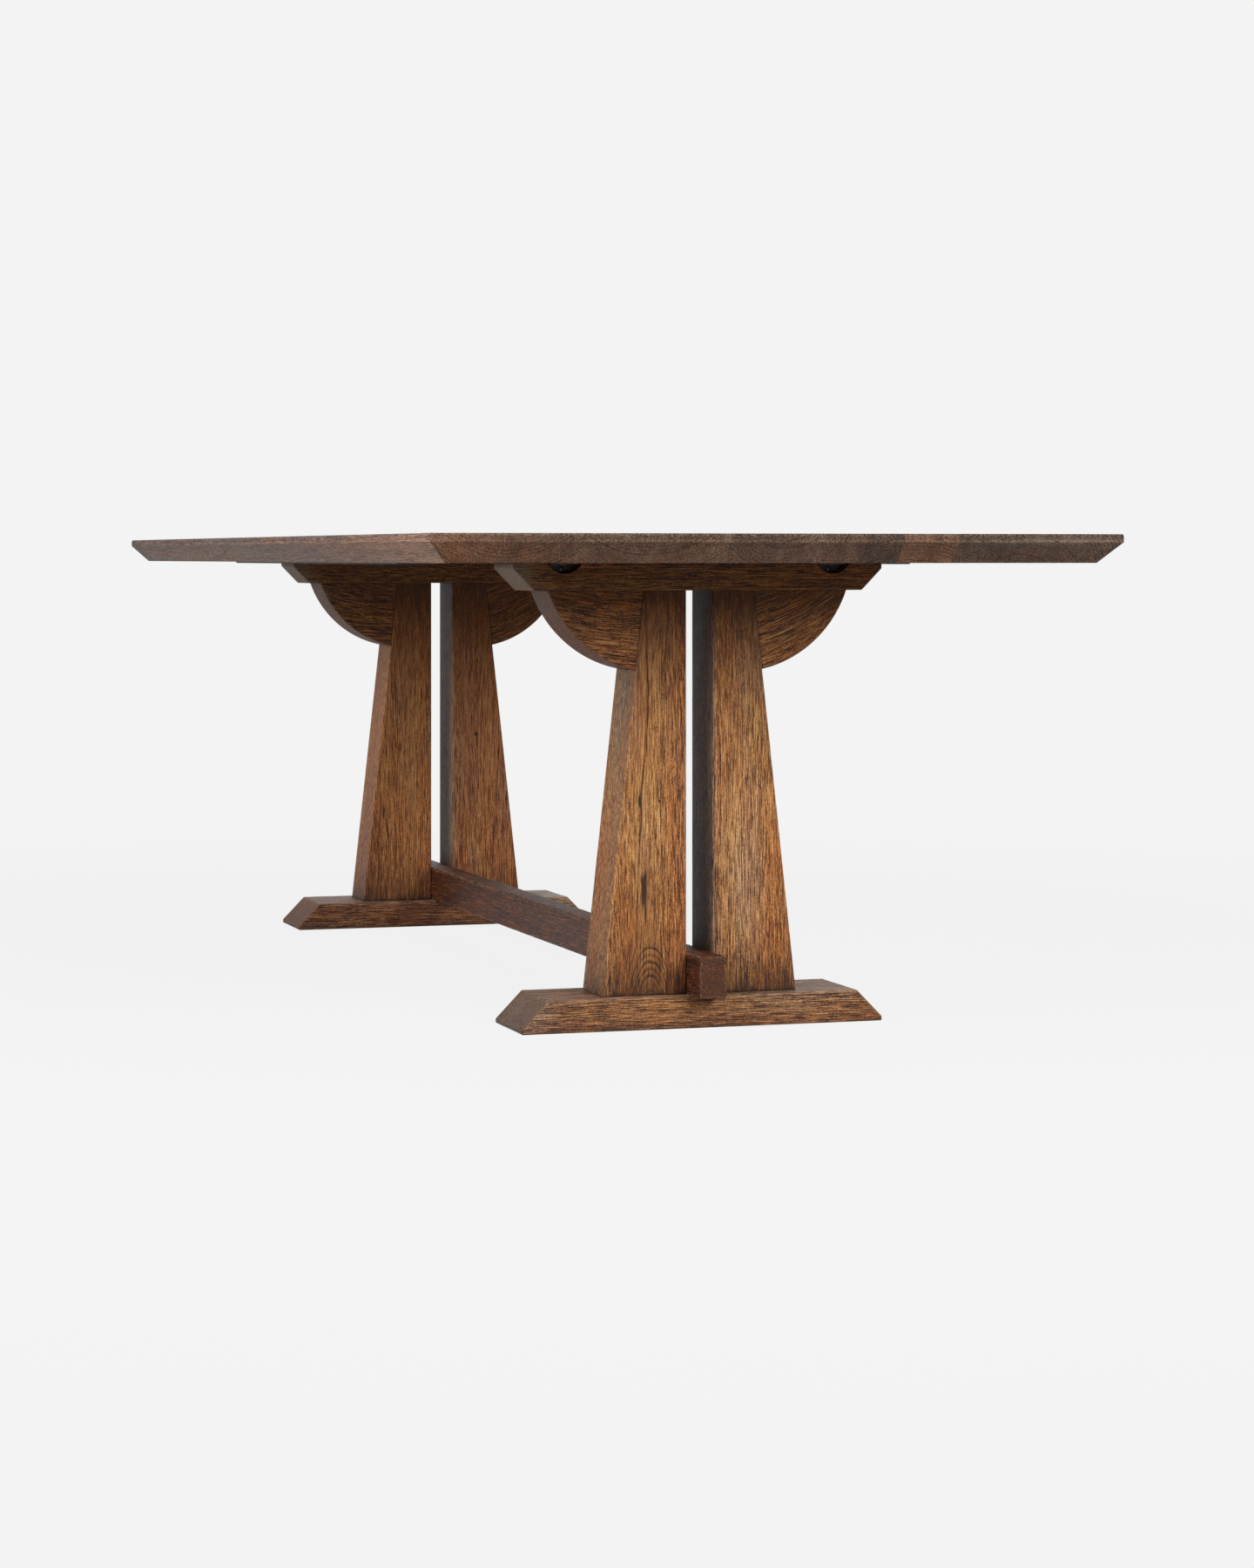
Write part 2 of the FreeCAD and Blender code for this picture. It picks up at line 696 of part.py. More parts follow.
# Bolt: a wide flat head with a six-sided socket, up through the foot into the insert
def build_bolt(label, move_x):
    body = new_body(label, move_x)
    head_face = S["counterbore_depth"] - S["bolt_head_height"]
    head = S["bolt_head_diameter"] / 2
    shank = S["bolt_diameter"] / 2
    height = S["bolt_head_height"]
    reach = foot_top + S["bolt_reach"] - head_face
    turned(body, label + "Turning", "XZ_Plane", (ZERO, head_face), True, [
        (ZERO, ZERO),
        (head, ZERO),
        (head, height),
        (shank, height),
        (shank, reach),
        (ZERO, reach),
    ])
    socket = new_sketch(body, "XY_Plane", label + "Socket", head_face)
    corner_share = 1 / math.sqrt(3)
    corner = S["bolt_socket_width"] * corner_share
    half = corner / 2
    flat = S["bolt_socket_width"] / 2
    draw_outline(socket, [
        (corner, ZERO),
        (half, flat),
        (-half, flat),
        (-corner, ZERO),
        (-half, -flat),
        (half, -flat),
    ])
    pocket(body, socket, label + "SocketCut", S["bolt_socket_depth"], backwards=True)
    return body


# Half-moon brackets on the trestle's outward side: one leaf against the recess wall, one under the top
def build_brackets(label, move_x, end):
    body = new_body(label, move_x)
    radius = S["recess_radius"] - S["bracket_clearance"]
    chord = top_underside
    rise = recess_centre - chord
    half_chord = root(radius * radius - rise * rise)
    across = S["recess_offset"]
    through = S["bracket_thickness"] + S["overrun"] * 2
    inward = end < 0
    sketch = new_sketch(body, "YZ_Plane", label + "Moon", recess_wall * end)
    left = (across - half_chord, chord)
    right = (across + half_chord, chord)
    line = draw_line(sketch, right, left)
    arc = draw_arc(sketch, (across, recess_centre), radius, left, right)
    sketch.addConstraint(Sketcher.Constraint("Coincident", line, 2, arc, 1))
    sketch.addConstraint(Sketcher.Constraint("Coincident", line, 1, arc, 2))
    fix(sketch, "DistanceY", line, 1, chord)
    fix(sketch, "DistanceY", line, 2, chord)
    moon = pad(body, sketch, label + "MoonLeaf", S["bracket_thickness"], backwards=inward)
    flat = new_sketch(body, "XY_Plane", label + "Flat", top_underside)
    half_width = S["bracket_leaf_width"] / 2
    tip = (recess_wall + S["bracket_leaf_depth"]) * end
    draw_outline(flat, rectangle(recess_wall * end, across - half_width, tip, across + half_width))
    leaf = pad(body, flat, label + "FlatLeaf", S["bracket_thickness"], backwards=True)
    up_hole = new_sketch(body, "XY_Plane", label + "UpHole", top_underside + S["overrun"])
    draw_circle(up_hole, bracket_screw_out * end, across, screw_hole)
    up_cut = pocket(body, up_hole, label + "UpDrilling", through)
    side_hole = new_sketch(body, "YZ_Plane", label + "SideHole", (recess_wall - S["overrun"]) * end)
    draw_circle(side_hole, across, top_underside - S["screw_drop"], screw_hole)
    side_cut = pocket(body, side_hole, label + "SideDrilling", through, backwards=not inward)
    mirror(body, label + "Pair", [moon, leaf, up_cut, side_cut], ("XZ_Plane",))
    return body


# Pan-headed screws of the brackets: one up into the top and one into the bearer at each
def build_bracket_screws(label, move_x, end):
    body = new_body(label, move_x)
    head = S["screw_head_diameter"] / 2
    shank = S["screw_diameter"] / 2
    height = S["screw_head_height"]
    reach = height + S["screw_length"]
    outline = [
        (ZERO, ZERO),
        (head, ZERO),
        (head, height),
        (shank, height),
        (shank, reach),
        (ZERO, reach),
    ]
    across = S["recess_offset"]
    head_face = top_underside - S["bracket_thickness"] - height
    foot = (bracket_screw_out * end, head_face)
    up = turned(body, label + "Up", "XZ_Plane", foot, True, outline, -across)
    level = top_underside - S["screw_drop"]
    start = (recess_wall + S["bracket_thickness"] + height) * end
    inward = []
    for out, along in outline:
        inward.append((out, along * -end))
    side = turned(body, label + "Side", "XZ_Plane", (start, level), False, inward, -across)
    mirror(body, label + "Pair", [up, side], ("XZ_Plane",))
    return body


# Build the top
nodes = []
edges = [
    -(S["top_width"] / 2),
    S["seam_one"],
    S["seam_two"],
    S["seam_three"],
    S["seam_four"],
    S["seam_five"],
    S["top_width"] / 2,
]
board_names = ("one", "two", "three", "four", "five", "six")
for k, word in enumerate(board_names):
    bevel = 0
    if k == 0:
        bevel = -1
    if k == len(board_names) - 1:
        bevel = 1
    nodes.append(build_board("top_board_" + word, edges[k], edges[k + 1], bevel))

# Build both trestles: the near one's outward side faces along X, and the far one's the other way
for word, end in (("near", 1), ("far", -1)):
    place = S["trestle_offset"] * end
    nodes.append(build_foot("foot_" + word, place))
    for hand, side in (("left", -1), ("right", 1)):
        nodes.append(build_post("post_%s_%s" % (word, hand), place, side))
        nodes.append(build_wing("wing_%s_%s" % (word, hand), place, side))
    nodes.append(build_bearer("bearer_" + word, place, end))
    nodes.append(build_slips("slip_tenons_" + word, place))
    nodes.append(build_brackets("brackets_" + word, place, end))
    nodes.append(build_bracket_screws("bracket_screws_" + word, place, end))
    nodes.append(build_insert("insert_" + word, place))
    nodes.append(build_bolt("bolt_" + word, place))

# Build the stretcher and the rails
nodes.append(build_stretcher("stretcher"))
for hand, side in (("left", -1), ("right", 1)):
    nodes.append(build_rail("rail_" + hand, side))
    nodes.append(build_rail_screws("rail_screws_" + hand, side))

# Check everything, then write one file for each piece or set
doc.recompute()
for item in doc.Objects:
    for bad in ("Invalid", "Error"):
        if bad in item.State:
            raise RuntimeError("%s is %s" % (item.Label, bad))
for body in nodes:
    if body.Shape.isNull() or not body.Shape.isValid():
        raise RuntimeError("%s has no valid shape" % body.Label)
os.makedirs("parts", exist_ok=True)
for body in nodes:
    body.Shape.exportStep("parts/%s.step" % body.Label)
    print("%-24s %2d solids %12.1f mm3" % (body.Label, len(body.Shape.Solids), body.Shape.Volume))
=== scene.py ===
import bpy
import bmesh
import math
import random
import numpy as np
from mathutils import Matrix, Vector, noise


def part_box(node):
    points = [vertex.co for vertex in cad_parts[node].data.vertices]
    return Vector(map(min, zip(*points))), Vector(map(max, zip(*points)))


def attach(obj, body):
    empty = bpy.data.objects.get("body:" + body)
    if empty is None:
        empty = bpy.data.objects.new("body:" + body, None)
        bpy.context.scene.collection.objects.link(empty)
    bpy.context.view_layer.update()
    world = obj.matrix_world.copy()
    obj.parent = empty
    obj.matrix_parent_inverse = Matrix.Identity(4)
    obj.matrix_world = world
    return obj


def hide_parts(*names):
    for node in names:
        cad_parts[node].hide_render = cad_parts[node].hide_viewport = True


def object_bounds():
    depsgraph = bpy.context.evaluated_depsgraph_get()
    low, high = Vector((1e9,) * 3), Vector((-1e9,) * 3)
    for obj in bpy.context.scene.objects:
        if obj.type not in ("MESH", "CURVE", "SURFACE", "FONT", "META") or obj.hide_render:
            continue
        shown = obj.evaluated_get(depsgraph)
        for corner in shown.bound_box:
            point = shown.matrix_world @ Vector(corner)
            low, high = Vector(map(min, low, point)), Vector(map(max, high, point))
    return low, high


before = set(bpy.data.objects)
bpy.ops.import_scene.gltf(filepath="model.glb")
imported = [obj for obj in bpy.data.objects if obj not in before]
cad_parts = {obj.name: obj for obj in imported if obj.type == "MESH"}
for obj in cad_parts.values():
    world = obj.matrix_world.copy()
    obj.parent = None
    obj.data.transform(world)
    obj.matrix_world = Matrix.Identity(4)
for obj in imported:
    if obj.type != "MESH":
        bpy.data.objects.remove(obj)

# The trestle table's looks: every oak CAD node is rebuilt as a finer mesh with rounded, worn edges,
# and carries its own grain, stain, wear, dirt, and painted light and shade as attributes that the oak
# materials read.
# Lengths are in metres. Colours are screen values from 0 to 255, and tints are factors for each channel.
# Near is the +X end, which the camera is nearer to, and left is the -Y side.

cad_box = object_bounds()
scene = bpy.context.scene
table_top = cad_box[1][2]
top_half_length = cad_box[1][0]
top_half_width = cad_box[1][1]
bearer_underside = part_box("bearer_near")[0].z
foot_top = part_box("foot_near")[1].z

# Rounding of the edges: the trestles', the top's and the stretcher's, then those in seams, and metal ones
ARRIS = 0.0022
BOARD_ARRIS = 0.0010
STRETCHER_ARRIS = 0.0015
JOINT_ARRIS = 0.0005
METAL_ARRIS = 0.0004
ROUND_STEPS = 3
FINE_ROUND_STEPS = 2
# The top's upright corners are rounded more, and lie within this zone of its ends and sides
CORNER = 0.0045
CORNER_STEPS = 4
CORNER_ZONE = 0.04

# Wear and dents along the exposed edges
EDGE_RING = 0.0025
WEAR_REACH = 0.0075
DENT = 0.0006
DENT_LENGTH = 0.045
DENT_ZONE_SHARE = 0.9
FINE_DENT_SHARE = 0.5
FINE_DENT_RATE = 2.7

# Dirt and painted shade at the posts' feet and in their joint with the foot, painted shade under their
# heads, and dirt in the other seams
FOOT_DIRT_AND_SHADE_REACH = 0.105
HEAD_PAINTED_SHADE_REACH = 0.16
JOINT_DIRT_AND_SHADE_REACH = 0.010
JOINT_DIRT_AND_SHADE_SHARE = 1.7
SEAM_REACH = 0.004
SEAM_DIRT = 0.75

# Mesh limits
WELD = 0.00001
TOUCH = 0.00003
FLAT_ANGLE = math.radians(0.4)
SHARP_ANGLE = math.radians(22)
METAL_SHARP_ANGLE = math.radians(35)
PANEL_AREA = 0.0018
GRID = 0.022
WING_GRID = 0.007
# How much of a unit normal lies along an axis on a face square to it, and on one turned a little towards it
SQUARE_SHARE = 0.99
TURNED_SHARE = 0.1


# Meshes
def welded_mesh(node):
    """A CAD node's mesh with its doubled points joined."""
    mesh = bmesh.new()
    mesh.from_mesh(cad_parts[node].data)
    bmesh.ops.remove_doubles(mesh, verts=mesh.verts[:], dist=WELD)
    return mesh


def flat_faced_mesh(node):
    """The same with every flat face in one piece."""
    mesh = welded_mesh(node)
    bmesh.ops.dissolve_limit(mesh, angle_limit=FLAT_ANGLE, verts=mesh.verts[:], edges=mesh.edges[:])
    return mesh


def plane_of(face):
    """The outward normal of a flat face and its distance from the origin."""
    return np.array(face.normal), face.normal.dot(face.verts[0].co)


def outward_faces(mesh, low, high):
    """Faces with nothing of the piece's body beyond their plane. Tenons lie outside low to high in z."""
    points = np.array([v.co for v in mesh.verts])
    body = points[(points[:, 2] > low - TOUCH) & (points[:, 2] < high + TOUCH)]
    found = []
    for face in mesh.faces:
        if not low - TOUCH < face.calc_center_median().z < high + TOUCH:
            continue
        normal, distance = plane_of(face)
        if (body @ normal).max() < distance + TOUCH:
            found.append(face)
    return found


def sharp_edges(faces, joint):
    """Outer edges between two outward faces, as exposed ones and ones that meet another piece."""
    chosen = set(faces)
    exposed, meeting = [], []
    for edge in {e for face in faces for e in face.edges}:
        if len(edge.link_faces) != 2 or not all(face in chosen for face in edge.link_faces):
            continue
        if edge.calc_face_angle_signed(0.0) < SHARP_ANGLE:
            continue
        target = meeting if any(joint(face) for face in edge.link_faces) else exposed
        target.append(edge)
    return exposed, meeting


def edge_ends(edges):
    """The two ends of every edge."""
    return [(np.array(edge.verts[0].co), np.array(edge.verts[1].co)) for edge in edges]


def upright_corners(mesh):
    """The upright edges at the corners of the top."""
    corners = []
    for edge in mesh.edges:
        spot = (edge.verts[0].co + edge.verts[1].co) / 2
        rise = abs(edge.verts[0].co.z - edge.verts[1].co.z)
        at_side = abs(spot.y) > top_half_width - CORNER_ZONE
        at_end = abs(spot.x) > top_half_length - CORNER_ZONE
        if rise > CORNER and at_side and at_end:
            corners.append(edge)
    return corners


def round_edges(mesh, edges, radius, steps=ROUND_STEPS):
    """Round the edges to the radius."""
    if edges:
        bmesh.ops.bevel(mesh, geom=edges, offset=radius, offset_type="OFFSET", segments=steps,
                        profile=0.5, affect="EDGES", clamp_overlap=True)


def cut_plane(mesh, spot, normal):
    """Cut the surface along a plane, which adds points without changing the shape."""
    bmesh.ops.bisect_plane(mesh, geom=mesh.verts[:] + mesh.edges[:] + mesh.faces[:], dist=TOUCH,
                           plane_co=spot, plane_no=normal)


def cut_across(mesh, axis, places):
    """Cut the surface square to an axis at each of the places."""
    normal = Vector((0.0, 0.0, 0.0))
    normal[axis] = 1.0
    for place in places:
        cut_plane(mesh, normal * place, normal)


def cut_rings(mesh, planes, depths):
    """Cuts a little inside each of the planes, so that wear and dirt have points to sit on near the edges."""
    for normal, distance in planes:
        for depth in depths:
            cut_plane(mesh, Vector(normal * (distance - depth)), Vector(normal))


def even_places(low, high, spacing):
    """Evenly spaced places between two limits, without the limits."""
    count = max(int(round((high - low) / spacing)), 1)
    return [low + (high - low) * k / count for k in range(1, count)]


def edge_distance(points, segments):
    """Distance from every point to the nearest of the segments, up to a metre."""
    nearest = np.full(len(points), 1.0)
    for start, end in segments:
        along = end - start
        share = np.clip((points - start) @ along / max(along @ along, 1e-12), 0, 1)
        nearest = np.minimum(nearest, np.linalg.norm(points - start - share[:, None] * along, axis=1))
    return nearest


def store(data, name, kind, domain, values):
    """Write one attribute of a mesh."""
    attribute = data.attributes.new(name, kind, domain)
    key = "vector" if kind == "FLOAT_VECTOR" else "value"
    attribute.data.foreach_set(key, np.asarray(values, dtype=np.float32).ravel())


# Grain runs along one axis of each piece; the other two are its width and its depth
AXES = {"X": (0, 1, 2), "Y": (1, 2, 0), "Z": (2, 1, 0)}
# The pieces lie this far apart along one endless log, so that no two have the same grain
GRAIN_STEP = 11.3


class Wood:
    """What one oak piece adds to its CAD node: grain, stain, wear, dirt, painted light and shade, and edges.
    """

    def __init__(self, node, order, axis, heart, light=0.0, red=0.0, grey=0.0, fleck=0.0, lines=1.0,
                 depth=1.0, patches=(), grime=0.0, bend=0.0, arris=ARRIS):
        self.node = node
        self.order = order
        self.axis = axis
        self.heart = np.array(heart, dtype=float)
        self.stain_and_painted_light = np.array((light, red, grey, fleck, lines))
        self.depth = depth
        self.patches = patches
        self.grime = grime
        self.bend = bend
        self.arris = arris
        low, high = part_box(node)
        self.low, self.high = np.array(low), np.array(high)
        self.middle = (self.low + self.high) / 2

    def fibre(self, points):
        """Points as (along the grain, across it, deep), measured from the middle of the piece."""
        along, across, deep = AXES[self.axis]
        u = points[:, along]
        v = points[:, across] - self.middle[across] - self.bend * u ** 2
        return np.stack((u + GRAIN_STEP * self.order, v, points[:, deep] - self.middle[deep]), axis=1)

    def rings(self, points):
        """The same, measured from the heart of the tree, round which the growth rings lie."""
        out = self.fibre(points)
        u = points[:, AXES[self.axis][0]]
        out[:, 1] -= np.interp(u, self.heart[:, 0], self.heart[:, 1])
        out[:, 2] -= np.interp(u, self.heart[:, 0], self.heart[:, 2])
        return out

    def stains_and_painted_light(self, points):
        """Light, red, grey, fleck and lines at each point. Patches, some of stain and some of painted light
        and shade, change the first few of them.
        """
        out = np.tile(self.stain_and_painted_light, (len(points), 1))
        for centre, reach, change in self.patches:
            off = (points - np.array(centre)) / np.array(reach)
            out[:, :len(change)] += np.exp(-(off ** 2).sum(axis=1))[:, None] * np.array(change)
        return out

    def body_limits(self):
        """The heights between which the piece's own body lies, without a post's tenons."""
        if self.node.startswith("post"):
            return foot_top, bearer_underside
        return self.low[2], self.high[2]


def joint_test(node, middle):
    """A test that says of a face whether it meets another piece."""
    if node.startswith("top_board"):
        def joint(face):
            inner = abs(face.calc_center_median().y) < top_half_width - TOUCH
            return inner and abs(face.normal.y) > SQUARE_SHARE
    elif node.startswith("post"):
        def joint(face):
            return abs(face.normal.z) > SQUARE_SHARE
    elif node.startswith("wing"):
        side = 1 if middle[1] > 0 else -1

        def joint(face):
            return face.normal.z > SQUARE_SHARE or face.normal.y * side < -TURNED_SHARE
    else:
        def joint(face):
            return False
    return joint


def place_piece(data, node, material):
    """Put a mesh in the scene in place of a CAD node."""
    data.materials.append(material)
    piece = bpy.data.objects.new(node + "_piece", data)
    scene.collection.objects.link(piece)
    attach(piece, "root")
    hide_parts(node)
    return piece


def dent_edges(mesh, wood, gap):
    """Dents along the exposed edges, always inwards, with every point kept in the CAD node's box."""
    for vertex, distance in zip(mesh.verts, gap):
        if distance < wood.arris * DENT_ZONE_SHARE:
            depth = noise.noise((vertex.co + Vector((wood.order, 0, 0))) / DENT_LENGTH)
            depth += FINE_DENT_SHARE * noise.noise(vertex.co * FINE_DENT_RATE / DENT_LENGTH)
            vertex.co -= vertex.normal * DENT * max(depth, 0.0)
        for axis in range(3):
            vertex.co[axis] = min(max(vertex.co[axis], wood.low[axis]), wood.high[axis])


def grime_at(points, wood, seams):
    """How dark each point is: dirt and painted shade at a post's foot and in its joint with the foot, painted
    shade under its head, and dirt beside seams that aren't in the top.
    """
    above, below = points[:, 2] - foot_top, bearer_underside - points[:, 2]
    grime = np.clip(1 - above / FOOT_DIRT_AND_SHADE_REACH, 0, 1) ** 2
    grime = np.maximum(grime, JOINT_DIRT_AND_SHADE_SHARE * np.clip(1 - above / JOINT_DIRT_AND_SHADE_REACH, 0, 1))
    grime = np.maximum(grime, np.clip(1 - below / HEAD_PAINTED_SHADE_REACH, 0, 1)) * wood.grime
    if not wood.node.startswith("top"):
        grime = np.maximum(grime, SEAM_DIRT * np.clip(1 - edge_distance(points, seams) / SEAM_REACH, 0, 1))
    return grime


def store_wood(data, wood, points, gap, seams):
    """Write the attributes that the oak materials read."""
    stains_and_painted_light = wood.stains_and_painted_light(points)
    wear = np.clip(1 - gap / WEAR_REACH, 0, 1)
    # The edge attribute holds wear, dirt with painted shade, and flecks
    edge = np.stack((wear, grime_at(points, wood, seams), stains_and_painted_light[:, 3]), axis=1)
    store(data, "fibre", "FLOAT_VECTOR", "POINT", wood.fibre(points))
    store(data, "rings", "FLOAT_VECTOR", "POINT", wood.rings(points))
    store(data, "stain_and_painted_light", "FLOAT_VECTOR", "POINT", stains_and_painted_light[:, :3])
    store(data, "edge", "FLOAT_VECTOR", "POINT", edge)
    store(data, "lines", "FLOAT", "POINT", stains_and_painted_light[:, 4])
    store(data, "depth", "FLOAT", "POINT", np.full(len(points), wood.depth))
    along = AXES[wood.axis][0]
    ends = []
    for face in data.polygons:
        ends.extend([abs(face.normal[along])] * face.loop_total)
    store(data, "end", "FLOAT", "CORNER", ends)


def dress(wood, material):
    """Replace an oak CAD node by a mesh with rounded edges that carries the piece's grain and wear."""
    mesh = flat_faced_mesh(wood.node)
    low, high = wood.body_limits()
    joint = joint_test(wood.node, wood.middle)
    if wood.node.startswith("top_board"):
        round_edges(mesh, upright_corners(mesh), CORNER, CORNER_STEPS)
    faces = outward_faces(mesh, low, high)
    large = [face for face in faces if face.calc_area() > PANEL_AREA]
    planes = [plane_of(face) for face in large if not joint(face)]
    joint_planes = [plane_of(face) for face in large if joint(face)]
    exposed, meeting = sharp_edges(faces, joint)
    worn, seams = edge_ends(exposed), edge_ends(meeting)
    round_edges(mesh, exposed, wood.arris)
    round_edges(mesh, sharp_edges(outward_faces(mesh, low, high), joint)[1], JOINT_ARRIS, FINE_ROUND_STEPS)
    cut_rings(mesh, planes, (wood.arris, wood.arris + EDGE_RING, WEAR_REACH))
    if not wood.node.startswith("top"):
        cut_rings(mesh, joint_planes, (SEAM_REACH / 4, SEAM_REACH))
    for axis in range(3):
        spacing = WING_GRID if wood.node.startswith("wing") and axis > 0 else GRID
        cut_across(mesh, axis, even_places(wood.low[axis], wood.high[axis], spacing))
    mesh.normal_update()
    points = np.array([v.co for v in mesh.verts])
    gap = edge_distance(points, worn)
    dent_edges(mesh, wood, gap)
    for face in mesh.faces:
        face.smooth = True
    data = bpy.data.meshes.new(wood.node + "_oak")
    mesh.to_mesh(data)
    mesh.free()
    store_wood(data, wood, points, gap, seams)
    piece = place_piece(data, wood.node, material)
    weigh = piece.modifiers.new("even_shading", "WEIGHTED_NORMAL")
    weigh.keep_sharp = True


def place_metal(mesh, node, material):
    """Turn a metal piece's mesh into its object, smooth apart from its sharp edges."""
    data = bpy.data.meshes.new(node + "_piece")
    mesh.to_mesh(data)
    mesh.free()
    data.shade_smooth()
    data.set_sharp_from_angle(angle=METAL_SHARP_ANGLE)
    place_piece(data, node, material)


def soften(node, material, radius):
    """Replace a metal CAD node by the same shape with small rounded edges."""
    mesh = flat_faced_mesh(node)
    outer = []
    for edge in mesh.edges:
        if len(edge.link_faces) == 2 and edge.calc_face_angle_signed(0.0) > SHARP_ANGLE:
            outer.append(edge)
    round_edges(mesh, outer, radius, FINE_ROUND_STEPS)
    place_metal(mesh, node, material)


def islands(mesh):
    """The separate bodies of a mesh, as arrays of their points."""
    left = set(mesh.verts)
    found = []
    while left:
        queue = [left.pop()]
        points = []
        while queue:
            vertex = queue.pop()
            points.append(tuple(vertex.co))
            for edge in vertex.link_edges:
                other = edge.other_vert(vertex)
                if other in left:
                    left.discard(other)
                    queue.append(other)
        found.append(np.array(points))
    return found


# A screw's head face: rings as shares of its radius, and the arms of its cross recess, which rises
# from its middle by the last share
HEAD_RING_SHARES = (0.08, 0.16, 0.24, 0.32, 0.40, 0.48, 0.54, 0.60, 0.68, 0.80, 0.92, 1.00)
HEAD_SEGMENTS = 48
DOME_SHARE = 0.45
ARM_WIDTH_SHARE = 0.13
ARM_REACH_SHARE = 0.60
RECESS_SHARE = 0.30
RECESS_RISE_SHARE = 0.4
# Its point: how long and how blunt it is, as shares of the shank's radius
POINT_SHARE = 2.0
BLUNT_SHARE = 0.2
# CAD points lie on the rim beyond this share of the head's radius, and on the shank below this one of its own
RIM_SHARE = 0.99
SHANK_SHARE = 1.01


class Screw:
    """A screw as its CAD points give it: its line, its head and its shank."""

    def __init__(self, points):
        low, high = points.min(axis=0), points.max(axis=0)
        axis = int(np.argmax(high - low))
        self.axis = axis
        self.middle = (low + high) / 2
        out = points - self.middle
        out[:, axis] = 0.0
        out = np.linalg.norm(out, axis=1)
        at_low = out[points[:, axis] < low[axis] + TOUCH].max()
        at_high = out[points[:, axis] > high[axis] - TOUCH].max()
        self.start, self.way = (low[axis], 1.0) if at_low > at_high else (high[axis], -1.0)
        self.head, self.shank = max(at_low, at_high), min(at_low, at_high)
        along = (points[:, axis] - self.start) * self.way
        self.rim = along[out > self.head * RIM_SHARE].max()
        self.neck = along[(out < self.shank * SHANK_SHARE) & (along > TOUCH)].min()
        self.length = high[axis] - low[axis]

    def rings(self):
        """Radius and depth of every ring, and its share of the radius where it lies in the head's face."""
        dome = DOME_SHARE * self.rim
        rings = [(self.head * share, dome * share ** 2, share) for share in HEAD_RING_SHARES]
        rings.append((self.head, self.rim, None))
        rings.append((self.shank, self.neck, None))
        rings.append((self.shank, self.length - self.shank * POINT_SHARE, None))
        rings.append((self.shank * BLUNT_SHARE, self.length, None))
        return rings

    def sink(self, angle, share):
        """How deep the cross recess is at an angle and a share of the radius."""
        if share is None or share >= ARM_REACH_SHARE:
            return 0.0
        off_arm = min(abs(math.cos(angle)), abs(math.sin(angle))) * share
        if off_arm >= ARM_WIDTH_SHARE:
            return 0.0
        return self.head * RECESS_SHARE * (1 - RECESS_RISE_SHARE * share)

    def spot(self, radius, angle, depth):
        """A place at a radius and an angle round the screw's line, and at a depth from its head's end."""
        place = np.array(self.middle)
        across = [k for k in range(3) if k != self.axis]
        place[self.axis] = self.start + self.way * depth
        place[across[0]] += radius * math.cos(angle)
        place[across[1]] += radius * math.sin(angle)
        return place

    def build(self, mesh):
        """Add the screw to a mesh."""
        centre = mesh.verts.new(self.spot(0.0, 0.0, self.head * RECESS_SHARE))
        loops = []
        for radius, depth, share in self.rings():
            loop = []
            for k in range(HEAD_SEGMENTS):
                angle = math.tau * k / HEAD_SEGMENTS
                loop.append(mesh.verts.new(self.spot(radius, angle, depth + self.sink(angle, share))))
            loops.append(loop)
        for k in range(HEAD_SEGMENTS):
            after = (k + 1) % HEAD_SEGMENTS
            mesh.faces.new((centre, loops[0][k], loops[0][after]))
            for inner, outer in zip(loops, loops[1:]):
                mesh.faces.new((inner[k], outer[k], outer[after], inner[after]))
        mesh.faces.new(loops[-1])


def cut_screws(node, material):
    """Replace a set of plain CAD screws by ones with domed or flat heads and a cross recess."""
    source = welded_mesh(node)
    mesh = bmesh.new()
    for points in islands(source):
        Screw(points).build(mesh)
    source.free()
    bmesh.ops.recalc_face_normals(mesh, faces=mesh.faces[:])
    place_metal(mesh, node, material)


# Materials
def screen(red, green, blue):
    """A colour given as screen values, in the linear form that shaders use."""
    out = []
    for value in (red, green, blue):
        share = value / 255
        out.append(share / 12.92 if share <= 0.04045 else ((share + 0.055) / 1.055) ** 2.4)
    return (*out, 1.0)


